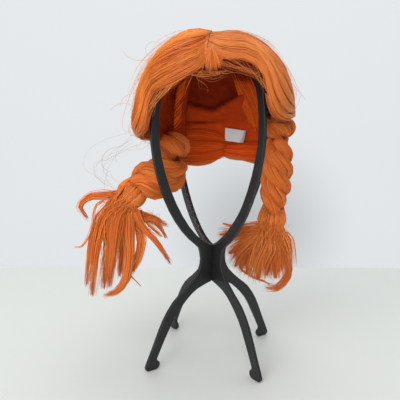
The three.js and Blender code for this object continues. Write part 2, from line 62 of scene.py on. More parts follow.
# The photograph's camera, fitted to the stand: millimetres and degrees
CAMERA = Row(back=588.36, height=288.40, lens=48.165, sensor=36, pitch=10.369, yaw=1.490, roll=0.865)

# Stage and light
FLOOR = Row(half_width=1600, front=-2200, back_left=201, back_right=442)
FLOOR_COLOUR = (0.66, 0.685, 0.66, 1.0)
BACKDROP = Row(y=1000, half_width=2600, low=-900, high=1700)
# The wig's shadow on the backdrop is painted: the glow dims round this point, down to the least share
BACKDROP_PAINTED_SHADOW = Row(at=(125, 1000, -85), radius=330, least=0.60)
BACKDROP_GLOW = 0.7
LIGHTS = (
    Row(name="key", at=(-700, -1000, 1500), aim=(0, 0, 200), size=1.3, power=14.0),
    Row(name="fill", at=(-280, -1400, 400), aim=(20, 0, 230), size=1.2, power=11.0),
    Row(name="top", at=(100, 250, 1500), aim=(0, 0, 250), size=1.2, power=8.0),
)
SKY = Row(colour=(0.92, 0.94, 0.95, 1.0), strength=0.5)

# Looks: ramps of linear colours, the weights of what makes a tone, and the strength and depth of relief
HAIR_TONES = (
    (0.12, (0.30, 0.036, 0.003)), (0.38, (0.65, 0.13, 0.013)),
    (0.62, (0.82, 0.22, 0.030)), (0.92, (0.95, 0.40, 0.10)),
)
HAIR_MIX = Row(tint=0.5, streaks=0.3, patches=0.2)
HAIR_STREAKS = Row(across=420.0, along=5.0)
HAIR_SHEEN = (1.0, 0.6, 0.25, 1.0)
HAIR_BUMP = (0.35, 0.0006)
CLOTH_RAMP = (0.12, 0.88)
CLOTH_MIX = Row(relief=0.08, threads=0.25, tint=0.75)
CLOTH_BUMP = (0.5, 0.0003)
LINT = Row(scale=420.0, size=0.12, region=0.56, amount=0.8, colour=(0.30, 0.24, 0.20, 1.0))
DUST_GRAIN = Row(scale=560.0, size=0.33)
STAND_TONES = ((0.3, (0.0055, 0.006, 0.0063)), (0.75, (0.012, 0.0125, 0.013)))
STAND_GLOSS = {"From Min": 0.3, "From Max": 0.7, "To Min": 0.32, "To Max": 0.52}
STAND_BUMP = (0.12, 0.0002)

# Stand: softened edges, and the sides of the arms on which dust lies
STAND_EDGE = Row(merge=1e-6, bevel=0.7, segments=3, sharp=40, flat=1, keep_flat=100)
STAND_DUST = Row(facing=(0.3, 0.6), above=128, most=0.6)

# The cap and the hair are domes round one centre in the head space
GAP = 0.35
LIFT = 2.2
INLAY = 1.5
CENTRE = np.array((0.0, 0.0, 264.0))
PLAN_POWER = 2.4
CAP = Row(side=77.5, front=86.0, back=88.5, top=89.3, bottom=125.0, power=2.5)
CAP_WALL = 1.6
HAIR_DOME = {
    "left": Row(side=88.5, front=93.0, back=97.0, top=102.3, bottom=135.0, power=2.1),
    "right": Row(side=83.2, front=93.0, back=97.0, top=98.5, bottom=135.0, power=2.35),
}
RIM_AZIMUTHS = (0, 40, 62, 84, 112, 130, 148, 180)
CAP_RIM = {
    "left": (321, 307, 288, 268, 266, 248, 231, 232),
    "right": (321, 317, 300, 284, 281, 246, 231, 232),
}
POLAR_SEARCH = Row(last=math.pi * 0.85, halvings=30)
GATHER = {
    "left": Row(
        at=(-48, 13, 239), size=(19, 18, 15), aim=(-49, 12, 249), dent=0.28, spread=37,
        axis=(0.45, -0.2, -1.0), bend=0.6,
    ),
    "right": Row(
        at=(70, 12, 262), size=(18, 17, 13), aim=(70, 12, 265), dent=0.23, spread=28,
        axis=(0.35, -0.1, -1.0), bend=0.35,
    ),
}
DENT_FLOOR = 0.2

# The cloth inside the cap: a sagging fold in a shallow V, a seam under it up to the tag, wefts and gathers
FOLD = Row(
    low=280, left_slope=0.32, right_slope=0.9, middle=-2, depth=7.0, wide=26, fade=(0.7, 1.3),
    rise=(-0.5, 3.5), fall=(7, 24),
)
SEAM = Row(height=264.5, tilt=0.1, depth=4.5, stop=8, fade=(-6, 3), rise=(-0.5, 1.5), fall=(5, 24))
WEFTS = Row(pitch=8.5, depth=0.2)
CAP_GATHERS = Row(depth=0.7, around=19, lean=0.07, fade=(250, 330))
# Painted light and shade on the inner cloth: shade under the crown and in the creases of fold and seam, light
# below the fold and seam and on the side walls; at the rim the net's own darker colour
CAP_PAINTED_SHADING = Row(crown=0.1, middle=0.48, low=0.14, crease=0.4, wall=0.75, rim=0.0)
CAP_SHADING_REACH = Row(middle=(-4, 5), low=(0, 6), wall=(30, 50), rim=(105, 125), fold=3, seam=1.6)
CAP_GRID = Row(columns=160, rows=56, plain_crown=(0.05, 0.3), merge=0.01)

# Hair runs from the part to the gather, and its edges pass near these points
PART_LINE = Row(front_x=-8, nape_x=9, front_angle=48, nape_angle=205)
FACE_EDGE = {
    "left": (
        (-13, -78, 321), (-24, -79, 313), (-34, -78, 307), (-44, -75, 302), (-54, -69, 298), (-61, -64, 291),
        (-64, -63, 282), (-65, -62, 271), (-67, -53, 261), (-68, -28, 255),
    ),
    "right": (
        (0, -72, 331), (9, -74, 328), (24, -72, 328), (36, -70, 323), (43, -71, 315), (47, -73, 304),
        (50, -75, 291), (57, -71, 278), (66, -62, 273), (74, -28, 275),
    ),
}
NAPE_EDGE = {
    "left": ((-3, 82, 217), (-16, 80, 214), (-31, 78, 214), (-52, 52, 223)),
    "right": ((18, 81, 222), (32, 80, 220), (57, 60, 219), (74, 36, 241)),
}
EDGE_ANGLES = Row(face=46, nape=40)
EDGE_SAMPLES = 200
SPAN_SAMPLES = 60
LOCKS = Row(count=7, groove=2.4, least=2.2, end=0.86)
THINNING = Row(part=0.35, part_reach=0.2, edge=0.5, edge_reach=0.08, end=0.45, end_from=0.62)
SUBLOCKS = Row(count=26, wander=0.4, fade=(0.5, 0.8), kept=0.3)
# The shell's low tint is painted shade: it shows dark in the gaps between the fibres' locks
HAIR_SHELL = Row(columns=140, rows=36, under=0.9, relief=0.9, least=1.0, tint=0.26)
HAIR_FIBRES = Row(
    count=1160, points=15, tail=4, radius=0.45, lift=(-0.6, 0.5), waver=0.006, clump=0.55,
    clump_reach=(0.08, 0.6), arch=0.5, ripple=0.3, in_bunch=0.3,
)
# Fibres that lie further out are lighter and deeper ones darker: painted light and shade. The lock and noise
# terms are tone that differs at random
HAIR_TINT = Row(middle=0.5, lift=0.22, lock=0.5, noise=0.09, dark=-0.3)
DARK_FIBRES = {"left": 0.06, "right": 0.02}
BUNCH = Row(
    fibres=200, points=11, radius=0.5, inside=0.8, upright=(0.0, 1.0, 0.2), ends=(0.06, 0.94), twist=0.35,
    waver=0.06, locks=2.5, lean=0.9, reach=(0.88, 0.98), depth=0.2,
)
# Fibres on the bunch's raised locks are lighter: painted light
BUNCH_TINT = Row(core=0.1, low=0.22, locks=0.35, noise=0.1, poles=(0.2, 0.8))

# A fibre's size against the plain one, the shares of its length where it thickens and thins, the rise at
# which it counts as steep, and the spread of streaks on a thick body
FIBRE_SIZES = (0.6, 1.2)
FIBRE_TAPER = Row(root=0.12, tip=0.7)
STEEP = 0.8
STREAKS = 0.09

# Hair that shows inside: rolls at the nape, with the azimuths that they cover, their lower and upper edges
# and how far they stand in, then hair on the side walls, with the azimuths and heights of its upper ends
ROLL_PLACES = (0.0, 0.12, 0.35, 0.7, 1.0)
NAPE_ROLLS = {
    "left": Row(
        start=-189, end=-128, low=(223, 216, 213.5, 213, 217), high=(245, 256, 260, 258, 252), puff=7.0,
    ),
    "right": Row(
        start=174, end=126, low=(223, 222, 220.5, 219, 220), high=(233, 237, 238, 241, 248), puff=4.5,
    ),
}
NAPE_ROLL = Row(
    fibres=230, points=13, radius=0.55, ends=1.5, uneven=0.5, wave=0.7, drawn=0.4, drawn_from=0.75,
    round_off=(0.02, 0.98), swell=(0.12, 0.85), crease=1.1, rough=0.4, off_wall=-0.8,
)
# Fibres that stand further off the wall are lighter: painted light
NAPE_TINT = Row(low=0.3, crease=0.25, at=5, noise=0.12)
LINING = {
    "left": Row(start=-139, end=-78, high=304, low=250, sweep=-14),
    "right": Row(start=143, end=100, high=306, low=262, sweep=10),
}
LINING_HAIRS = Row(
    count=130, points=9, radius=0.6, turn=1, slope=14, high=3, low=4, off_wall=(0.1, 0.8), wave=0.4,
    tint=(0.3, 0.75),
)

# Strays: hair under the front edge, single hairs on the surface, curls, hairs that drift beside the plait,
# dark hairs that paint shade into the crease above the right plait, and strands that leave the front edge.
# The across and height of single hairs give the forms of their beta and gamma draws
UNDER_EDGE = {"left": Row(count=40, deep=4.0), "right": Row(count=100, deep=8.0)}
UNDER_HAIRS = Row(
    points=11, along=(0.42, 0.92), uneven=0.04, root=0.25, grow=0.6, lift=(0, 1.5), back=0.8, sway=0.8,
    rates=(4, 12), radius=0.45, tint=(-0.3, 0.45),
)
LOOSE = {"left": 100, "right": 60}
LOOSE_FIBRE = Row(
    radius=0.17, points=18, across=(1.2, 2.2), start=(0.0, 0.45), length=(0.25, 0.6), last=0.97, wander=0.05,
    height=(1.8, 3.8), rise=(1.0, 2.2), cap=(4, 16), sway=1.6, rates=(3, 14), tint=(0.5, 1.2),
)
CURLS = {"left": Row(count=34, drift=20, radius=10), "right": Row(count=8, drift=7, radius=4.5)}
CURL_PLACE = Row(across=(0.05, 0.5), along=(0.3, 0.95), sunk=1, way=(1.0, -0.2, -0.25), drift=(0.2, 1.0))
CURL = Row(points=22, radius=(0.3, 1.0), turn=(2.5, 7.0), tint=(0.3, 1.1))
DRIFTING = Row(
    count=9, points=44, radius=0.07, start=(-84, -14, 248), start_spread=(3, 8, 6), end=(-104, -8, 192),
    end_spread=(9, 4, 5), turn=(6, 16), loop=(2, 7), out=(6, 38), tint=(-0.6, 0.2),
)
# Dark hairs that stand in for the shade in the crease above the right plait
NECK_SHADE_HAIRS = Row(
    count=30, points=12, radius=0.4, low=5.0, high=10.0, half_turn=1.0, uneven=0.3, wave=0.8,
    least=0.1, proud=(0.04, 0.12), tint=(-0.5, 0.4),
)
EDGE_STRANDS = {
    "left": Row(count=56, fall=2.2, hanging=0.14, reach=(0.05, 0.5)),
    "right": Row(count=48, fall=1.3, hanging=0.0, reach=(0.02, 0.42)),
}
EDGE_STRAND = Row(
    points=12, radius=(0.12, 0.28), run=85, ahead=0.2, fall_shape=1.5, aside=2, back=(0, 6), sway=1.3,
)
HANGING_STRAND = Row(along=(0.03, 0.16), drop=(9, 22), aside=(-6, 16), ahead=0.03, sway=2.6, thin=0.6)
EDGE_TINT = Row(share=0.4, dark=(-0.6, 0.0), light=(0.4, 1.2))
STRAND_RATES = (3, 9)
ANY_PHASE = 6.0

# The tuft, and strands beside it: azimuth and height of both ends, and their sag
TUFT = Row(
    low_left=-10.5, low_right=4.5, low=316, high=334, tip=-4.5, tip_half=2.4, slit=-8.2, slit_half=0.7,
    fibres=170, points=10, radius=0.5, fan=0.8, bow=5.0, bow_middle=0.9, foot=(-2.5, 3.5), off_cap=(4.6, 1.6),
    uneven=1.2, tint=(0.05, 0.6),
)
FRINGE = (
    Row(start=(-18, 315), end=(8, 315), sag=4.5, count=18),
    Row(start=(1, 323), end=(29, 314), sag=1.5, count=20),
)
FRINGE_STRAND = Row(
    points=16, radius=(0.1, 0.24), spread=(3.0, 1.6), sag=(0.2, 1.6), wave=0.7, rates=(4, 12),
    off_cap=(0.3, 3.0),
)
FRINGE_TINT = Row(share=0.5, dark=(-0.7, 0.0), light=(0.4, 1.1))

# Bands and tag inside the cap
BAND_THICKNESS = 1.5
BAND_LEFT = Row(middle=-143, half_angle=7.5, low=232, high=318, off_arm=1)
BAND_RIGHT = Row(middle=149, half_angle=5.2, lean=13, low=263, high=315)
LOOP_INNER = Row(half_width=72.4, up=86, down=127.3, up_power=2.55, down_power=1.58, middle=257)
TAPE = Row(columns=10, rows=60, thickness=0.6, tint=0.12)
RIBS = Row(
    count=24, radius=0.8, sizes=(0.7, 1.1), points=8, sides=5, slant=6.0, low=0.3, inner=0.34, outer=0.98,
    uneven=0.2, ends=0.04, seat=0.7, puff=1.1, tint=(0.6, 1.15),
)
RIBBON = Row(
    fibres=96, points=12, radius=0.62, puff=1.6, along=(-0.06, 1.02), ends=0.06, rough=(-0.2, 0.3),
    wide=(-0.35, 1.35), wave=0.12, tint=(0.55, 1.05),
)
TAG = Row(
    middle=162.5, half_angle=9, low=239, high=255.5, slope=-3, thickness=0.5, off_cap=2.2, curl=28.0,
    crease_low=0.74, crease_high=0.95, buckle=0.6, columns=36, rows=22,
)
# Painted shade on the tag: a dark line along the crease and a darker curled flap
TAG_PAINTED_SHADE = Row(plain=0.9, curled=0.72, crease=0.6, crease_wide=0.04)

# Plaits: route of the centre line, how far a strand lies off it, half a strand, the shares of both that
# are left at the tie, and the turns that the strands make round each other
PLAITS = {
    "left": Row(
        route=((-43, 14, 221), (-51, 11, 210), (-65, 6, 203), (-82, 1, 197), (-93, -3, 185)),
        spread=12, strand=10.4, end_spread=0.5, end_scale=0.62, turns=-1.3, phase=0.05,
    ),
    "right": Row(
        route=((70, 13, 250), (71, 15, 230), (71, 19, 205), (70, 25, 178), (69, 30, 153)),
        spread=9.4, strand=8.4, end_spread=0.6, end_scale=0.74, turns=1.7, phase=0.1,
    ),
}
ROUTE_SAMPLES = 60
STRAND_COUNT = 3
PLAIT_TAPER = Row(start=0.58, stop=0.86, root=0.7, root_reach=0.25)
STRAND = Row(
    straight_end=0.12, steps=27, sides=12, fibres=245, radius=0.46, thickest=1.25, lift=(0.94, 1.04),
    twist=3.0, waver=0.12, ridge=0.02, ripple=0.02, any_phase=6.3, to_gather=0.35, core=0.9,
)
# Strand fibres that lie further out or on ridges are lighter: painted light and shade
STRAND_TINT = Row(core=0.3, middle=0.47, lift=1.6, ridge=3.0, noise=0.1, dark_share=0.025, dark=-0.2)
# Painted shade: where a strand's creases darken, and how much darker the strands' creases, the bunch's ends
# and the hair's tails into the bunch are
PAINTED_CREASE_SHADE = Row(reach=(0.4, 0.78), strand=0.9, bunch=0.5, gather=0.7, ahead=2)
TIE = Row(
    length=8, wall=2.4, spare=1.25, coils=3, points=30, fibres=90, radius=0.5, lean=4.0, sunk=0.6,
    swell=(0.35, 0.8), ends=(0.08, 0.92), rough=0.25, uneven=0.2, last=-0.4, rings=4, inset=1, sides=32,
)
# Fibres on the swell of a coil are lighter: painted light
TIE_TINT = Row(core=0.25, low=0.42, swell=0.25, noise=0.1)
TIE_TURN = {"left": 2.6, "right": 0.0}

# Tassels: the width of each lock, and its path from the head
TASSELS = {
    "left": (
        (11, ((-118, -8, 186), (-136, -9, 184), (-148, -9, 173), (-141, -9, 159))),
        (15, ((-122, -4, 166), (-136, -6, 133), (-144, -6, 81))),
        (17, ((-117, -10, 165), (-129, -12, 129), (-136, -12, 71))),
        (19, ((-112, -1, 164), (-118, 0, 121), (-125, -1, 76))),
        (18, ((-106, -11, 164), (-111, -14, 124), (-116, -14, 82))),
        (20, ((-100, -2, 163), (-102, -1, 128), (-106, -3, 91))),
        (13, ((-94, -9, 163), (-93, -10, 124), (-97, -10, 91), (-109, -10, 75), (-122, -10, 70))),
        (14, ((-90, -2, 164), (-80, -3, 139), (-84, -4, 113), (-93, -4, 94))),
        (11, ((-86, -9, 166), (-78, -10, 150), (-62, -10, 132), (-48, -10, 110))),
        (13, ((-84, -2, 163), (-68, -2, 159), (-53, -2, 152))),
    ),
    "right": (
        (13, ((53, 42, 138), (30, 48, 133), (8, 50, 129))),
        (17, ((53, 42, 131), (34, 46, 116), (20, 47, 106))),
        (19, ((55, 40, 128), (38, 44, 108), (28, 46, 90))),
        (20, ((60, 38, 125), (48, 41, 103), (42, 40, 82))),
        (20, ((64, 25, 125), (56, 23, 104), (54, 24, 82))),
        (21, ((70, 40, 124), (67, 44, 104), (66, 42, 81))),
        (20, ((73, 28, 125), (75, 28, 104), (76, 30, 82))),
        (19, ((78, 40, 127), (82, 42, 110), (85, 40, 90))),
        (17, ((80, 30, 131), (86, 30, 116), (89, 32, 99))),
        (8, ((83, 32, 122), (91, 34, 102), (91, 32, 84), (80, 32, 69), (65, 32, 69))),
    ),
}
# How a tassel falls: fibres in 15 mm of lock, shares of them that stray to the next lock and that pass over
# the tie, how tight and flat its locks are, how much of the width is left at the tips, and how frayed
TASSEL_STYLE = {
    "left": Row(
        fibres=84, stray=0.14, packed=0.46, flat=0.6, tip=0.4, core=0.3, fray=0.8, stagger=8, over=0.7,
    ),
    "right": Row(
        fibres=112, stray=0.35, packed=0.68, flat=0.9, tip=0.9, core=0.5, fray=1.3, stagger=8, over=0.25,
    ),
}
TASSEL = Row(
    points=15, radius=0.43, count_width=15, stray=1.5, thick=1.5, thick_every=6, fray_root=0.2,
    stagger=(-1.0, 0.4), scatter=7, inside=(0.2, 1.0), inside_most=0.95,
)
# Where a fibre passes the tie: how far before and after the plait's end, and how far off the bore there
PAST_TIE = Row(before=(10, 17), under=0.94, at=4, over=0.6, leave=5, leave_over=1.0)
TASSEL_CORE = Row(start=3, sides=14, tip=0.4, root=0.6, tint=(0.05, 0.3))
# Fibres in the middle of a lock are darker and outer ones lighter: painted shade and light
TASSEL_TINT = Row(low=0.48, outer=0.2, lock_noise=0.1, noise=0.08)
# Thin wisps that leave a tassel: their width, how many fibres they have and their path
WISPS = {
    "left": (
        (2.0, 8, ((-112, -8, 182), (-130, -9, 174), (-136, -9, 147), (-146, -9, 128), (-155, -9, 126))),
        (2.0, 8, ((-98, -7, 120), (-95, -7, 97), (-81, -7, 81))),
        (6.0, 26, ((-84, 0, 166), (-62, 0, 150), (-53, 0, 136))),
        (5.0, 20, ((-86, -4, 166), (-66, -5, 146), (-58, -5, 139))),
    ),
    "right": (
        (5.0, 24, ((56, 40, 138), (34, 48, 138), (12, 50, 143))),
        (4.0, 16, ((52, 40, 108), (34, 42, 90), (48, 40, 79))),
        (4.0, 14, ((50, 38, 100), (44, 38, 84), (70, 36, 72))),
    ),
}
WISP = Row(points=18, radius=0.4, thickest=1.1, spread=0.28, narrow=(1.2, 0.35), fray=0.5, tint=(0.35, 0.95))
# Single hairs that stray round the root of a tassel: their middle, spread and curl
FRIZZ = {
    "left": Row(at=(-79, -4, 158), spread=(9, 5, 8), count=34, radius=4.0),
    "right": Row(at=(62, 14, 141), spread=(9, 4, 10), count=26, radius=5.0),
}
FRIZZ_DRIFT = 4


# Small maths on arrays whose last axis is x, y, z

def mix(a, b, share):
    return a + (b - a) * share


def smooth(x, low, high):
    share = np.clip((x - low) / (high - low), 0.0, 1.0)
    return share * share * (3 - 2 * share)


def unit(vectors):
    vectors = np.asarray(vectors, float)
    return vectors / np.linalg.norm(vectors, axis=-1, keepdims=True)


def to_row(points):
    """Millimetres from the stand's axis to metres in the model's frame."""
    return np.asarray(points, float) * MM + AXIS


def steps(count):
    """Shares from 0 to 1 along a fibre, as one row."""
    return np.linspace(0, 1, count)[None, :]


def ring_on(first, second, turn):
    """Directions at angles round a line, from its two cross directions."""
    return first * np.cos(turn)[..., None] + second * np.sin(turn)[..., None]


def spline_lines(controls, count):
    """Smooth lines through rows of control points, (lines, controls, 3) to (lines, count, 3)."""
    controls = np.asarray(controls, float)
    first = 2 * controls[:, :1] - controls[:, 1:2]
    last = 2 * controls[:, -1:] - controls[:, -2:-1]
    padded = np.concatenate((first, controls, last), axis=1)
    spans = controls.shape[1] - 1
    at = np.linspace(0, spans, count)
    span = np.minimum(at.astype(int), spans - 1)
    t = (at - span)[None, :, None]
    p0, p1, p2, p3 = (padded[:, span + k] for k in range(4))
    linear = (p2 - p0) * t
    square = (2 * p0 - 5 * p1 + 4 * p2 - p3) * t ** 2
    cube = (3 * p1 - p0 - 3 * p2 + p3) * t ** 3
    return p1 + 0.5 * (linear + square + cube)


def even_line(points, count):
    """A centripetal spline through a few points, as points evenly spaced along its length."""
    points = np.asarray(points, float)
    padded = np.vstack((2 * points[0] - points[1], points, 2 * points[-1] - points[-2]))
    t = np.linspace(0, 1, SPAN_SAMPLES)[:, None]
    run = []
    for p0, p1, p2, p3 in zip(padded, padded[1:], padded[2:], padded[3:]):
        k0, k1, k2 = (math.sqrt(np.linalg.norm(b - a)) for a, b in ((p0, p1), (p1, p2), (p2, p3)))
        leave = k1 * ((p1 - p0) / k0 - (p2 - p0) / (k0 + k1) + (p2 - p1) / k1)
        arrive = k1 * ((p2 - p1) / k1 - (p3 - p1) / (k1 + k2) + (p3 - p2) / k2)
        square = 3 * (p2 - p1) - 2 * leave - arrive
        cube = 2 * (p1 - p2) + leave + arrive
        run.append(p1 + leave * t + square * t ** 2 + cube * t ** 3)
    run = np.concatenate(run)
    length = np.concatenate(((0,), np.cumsum(np.linalg.norm(np.diff(run, axis=0), axis=1))))
    at = np.linspace(0, length[-1], count)
    return np.stack([np.interp(at, length, run[:, k]) for k in range(3)], axis=1)


def frames_on(line):
    """Tangent, across and depth at each point of a line, with across level in the front view."""
    tangent = unit(np.gradient(line, axis=0))
    across = unit(np.cross((0.0, 1.0, 0.0), tangent))
    return tangent, across, np.cross(tangent, across)


# Seeded draws for many fibres at once

def seeded(name, order=0):
    return np.random.default_rng(SEEDS[name] + order)


def column(rng, reach, count):
    """One value between two limits for each fibre, as a column."""
    return rng.uniform(*reach, (count, 1))


def around_zero(rng, reach, count):
    return rng.uniform(-reach, reach, (count, 1))


def spaced(rng, count):
    """Shares of fibres that lie side by side, each a little off its place."""
    return (np.arange(count) + rng.random(count)) / count


def varied(rng, radius, count, thickest=FIBRE_SIZES[1]):
    return radius * rng.uniform(FIBRE_SIZES[0], thickest, count)


def sway(rng, count, size, rates, share):
    """Slow sideways waves of single hairs along their length."""
    way = rng.normal(0, size, (count, 1, 3))
    return way * np.sin(share * column(rng, rates, count))[..., None]


def two_tints(rng, count, share, dark, light):
    """Dark tints for a share of the hairs and light ones for the rest."""
    return np.where(rng.random(count) < share, rng.uniform(*dark, count), rng.uniform(*light, count))


# Meshes: each chunk is a dict of vertices in millimetres, triangles and the fibre values

def bmesh_chunk(bm, tint=0.5):
    """Takes a finished bmesh apart into a chunk. Its float layers across and along are kept."""
    bmesh.ops.triangulate(bm, faces=bm.faces)
    bm.verts.index_update()
    values = {}
    for key in ("across", "along"):
        layer = bm.verts.layers.float.get(key)
        values[key] = np.array([v[layer] if layer else 0.5 for v in bm.verts])
    chunk = dict(
        verts=np.array([v.co for v in bm.verts]),
        tris=np.array([[v.index for v in f.verts] for f in bm.faces]),
        tint=np.full(len(bm.verts), tint), **values,
    )
    bm.free()
    return chunk


def tubes(lines, radius, tint, tip=0.3, root=0.7, sides=3):
    """Closed tapering tubes along lines, (lines, points, 3), as one chunk, with tint by line or by point."""
    count, points = lines.shape[:2]
    tint = np.asarray(tint, float)
    tint = np.broadcast_to(tint if tint.ndim == 2 else tint.reshape(-1, 1), (count, points))
    tangent = unit(np.gradient(lines, axis=1))
    spare = np.where(np.abs(tangent[:, 0, 2:]) < STEEP, (0.0, 0.0, 1.0), (1.0, 0.0, 0.0))
    normal = [unit(np.cross(tangent[:, 0], spare))]
    for j in range(1, points):
        ahead = tangent[:, j]
        normal.append(unit(normal[-1] - ahead * np.sum(normal[-1] * ahead, axis=1, keepdims=True)))
    normal = np.stack(normal, axis=1)
    other = np.cross(tangent, normal)
    share = np.linspace(0, 1, points)
    taper = mix(root, 1, smooth(share, 0, FIBRE_TAPER.root)) * mix(1, tip, smooth(share, FIBRE_TAPER.tip, 1))
    size = np.broadcast_to(radius, (count,))[:, None] * taper
    ring = ring_on(normal[:, :, None], other[:, :, None], 2 * math.pi * np.arange(sides) / sides)
    verts = lines[:, :, None] + ring * size[:, :, None, None]
    index = np.arange(count * points * sides).reshape(count, points, sides)
    near, far = index[:, :-1], index[:, 1:]
    near_next, far_next = np.roll(near, -1, axis=2), np.roll(far, -1, axis=2)
    halves = ((near, near_next, far_next), (near, far_next, far))
    walls = [np.stack(half, axis=-1).reshape(-1, 3) for half in halves]
    fan = [(0, k, k + 1) for k in range(1, sides - 1)]
    ends = [index[:, -1][:, f] for f in fan] + [index[:, 0][:, f[::-1]] for f in fan]
    return dict(
        verts=verts.reshape(-1, 3), tris=np.concatenate(walls + ends),
        tint=np.repeat(tint.reshape(-1), sides),
        along=np.tile(np.repeat(share, sides), count),
        across=np.repeat(np.linspace(0, 1, count), points * sides),
    )


def streaked(line, radius, tint, tip, root, sides):
    """One thick body of hair along a line, with streaks that run along it."""
    body = tubes(line[None], radius, tint, tip=tip, root=root, sides=sides)
    body["across"] = np.tile(STREAKS * np.arange(sides) / sides, len(line))
    return body


def add_piece(name, chunks, material, slot, *nodes):
    """Joins chunks into one object that rides on the only body and stands for its CAD nodes."""
    starts = np.cumsum([0] + [len(c["verts"]) for c in chunks])
    mesh = bpy.data.meshes.new(name)
    verts = to_row(np.concatenate([c["verts"] for c in chunks]))
    tris = np.concatenate([c["tris"] + start for c, start in zip(chunks, starts)])
    mesh.from_pydata(verts.tolist(), [], tris.tolist())
    for key in ("tint", "along", "across"):
        values = np.concatenate([c[key] for c in chunks]).astype(np.float32)
        mesh.attributes.new(key, "FLOAT", "POINT").data.foreach_set("value", values)
    mesh.shade_smooth()
    return settle(name, mesh, material, slot, *nodes)


def place_object(name, mesh, material):
    mesh.materials.clear()
    mesh.materials.append(material)
    made = bpy.data.objects.new(name, mesh)
    bpy.context.scene.collection.objects.link(made)
    return made


def settle(name, mesh, material, slot, *nodes):
    piece = place_object(name, mesh, material)
    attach(piece, "root")
    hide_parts(*nodes)
    return piece


def lay_grid(bm, columns, rows, place):
    """A grid in the bmesh whose vertices go where place(u, v) says, with u and v from 0 to 1."""
    layers = bm.verts.layers.float
    across, along = (layers.get(key) or layers.new(key) for key in ("across", "along"))
    made = bmesh.ops.create_grid(bm, x_segments=columns, y_segments=rows, size=0.5)["verts"]
    flat = np.array([v.co[:2] for v in made]) + 0.5
    for vert, (u, v), spot in zip(made, flat, place(flat[:, 0], flat[:, 1])):
        vert.co = spot
        vert[across] = u
        vert[along] = v


def closed_shell(columns, rows, outer, inner, merge=None):
    """The closed solid between two grids that share their outline. A merge distance joins their poles."""
    bm = bmesh.new()
    lay_grid(bm, columns, rows, outer)
    lay_grid(bm, columns, rows, inner)
    if merge:
        bmesh.ops.remove_doubles(bm, verts=bm.verts, dist=merge)
    bmesh.ops.bridge_loops(bm, edges=[e for e in bm.edges if e.is_boundary])
    bmesh.ops.recalc_face_normals(bm, faces=bm.faces)
    return bm


# Materials

def connect(tree, made, inputs):
    """Sets a node's inputs, each from a value or a link."""
    for key, value in inputs.items():
        if isinstance(value, bpy.types.NodeSocket):
            tree.links.new(value, made.inputs[key])
        else:
            made.inputs[key].default_value = value
    return made.outputs


def add(tree, kind, inputs=None, **settings):
    """One shader node with its settings and inputs. Its outputs are returned."""
    made = tree.nodes.new("ShaderNode" + kind)
    for key, value in settings.items():
        setattr(made, key, value)
    return connect(tree, made, inputs or {})


def ramp(tree, factor, stops):
    made = tree.nodes.new("ShaderNodeValToRGB")
    elements = made.color_ramp.elements
    for place, _ in stops[2:]:
        elements.new(place)
    for element, (place, colour) in zip(elements, stops):
        element.position = place
        element.color = (*colour, 1.0)
    return connect(tree, made, {"Fac": factor})["Color"]


def maths(tree, operation, a, b):
    return add(tree, "Math", {0: a, 1: b}, operation=operation)[0]


def weighted(tree, *terms):
    """The sum of values times their weights."""
    total, *others = [maths(tree, "MULTIPLY", value, weight) for value, weight in terms]
    for other in others:
        total = maths(tree, "ADD", total, other)
    return total


def object_place(tree):
    return add(tree, "TexCoord")["Object"]


def noise(tree, place, scale, detail, **more):
    return add(tree, "TexNoise", {"Vector": place, "Scale": scale, "Detail": detail, **more})["Fac"]


def dots(tree, place, scale, size):
    """A mask of scattered dots."""
    cells = add(tree, "TexVoronoi", {"Vector": place, "Scale": scale, "Randomness": 1.0})
    return maths(tree, "LESS_THAN", cells["Distance"], size)


def blend_colours(tree, factor, a, b, how="MIX"):
    return add(tree, "Mix", {0: factor, 6: a, 7: b}, data_type="RGBA", blend_type=how)[2]


def bump(tree, height, strength, distance, onto):
    made = add(tree, "Bump", {"Strength": strength, "Distance": distance, "Height": height})
    tree.links.new(made["Normal"], onto)


def attribute(tree, name):
    return add(tree, "Attribute", attribute_name=name)["Fac"]


def new_group(name, inputs, outputs):
    """An empty shader group with named sockets: its tree, what it is given and where it puts out."""
    tree = bpy.data.node_groups.new(name, "ShaderNodeTree")
    for way, sockets in (("INPUT", inputs), ("OUTPUT", outputs)):
        for label, kind in sockets.items():
            tree.interface.new_socket(name=label, in_out=way, socket_type="NodeSocket" + kind)
    return tree, tree.nodes.new("NodeGroupInput").outputs, tree.nodes.new("NodeGroupOutput").inputs


def use_group(tree, group, inputs):
    made = tree.nodes.new("ShaderNodeGroup")
    made.node_tree = group
    return connect(tree, made, inputs)


def fibre_tone_group():
    """Hair colour and relief from each fibre's tint, with streaks along it and broad patches."""
    tree, given, out = new_group(
        "fibre_tone", dict(Tint="Float", Along="Float", Across="Float", Lift="Float"),
        dict(Color="Color", Relief="Float"),
    )
    patches = noise(tree, object_place(tree), scale=30.0, detail=2.0)
    lengthwise = add(tree, "CombineXYZ", {
        "X": maths(tree, "MULTIPLY", given["Across"], HAIR_STREAKS.across),
        "Y": maths(tree, "MULTIPLY", given["Along"], HAIR_STREAKS.along),
        "Z": given["Tint"],
    })[0]
    streaks = noise(tree, lengthwise, scale=1.0, detail=3.0)
    parts = dict(tint=given["Tint"], streaks=streaks, patches=patches)
    tone = weighted(tree, *((value, HAIR_MIX[key]) for key, value in parts.items()))
    tone = maths(tree, "ADD", tone, given["Lift"])
    tree.links.new(ramp(tree, tone, HAIR_TONES), out["Color"])
    tree.links.new(streaks, out["Relief"])
    return tree


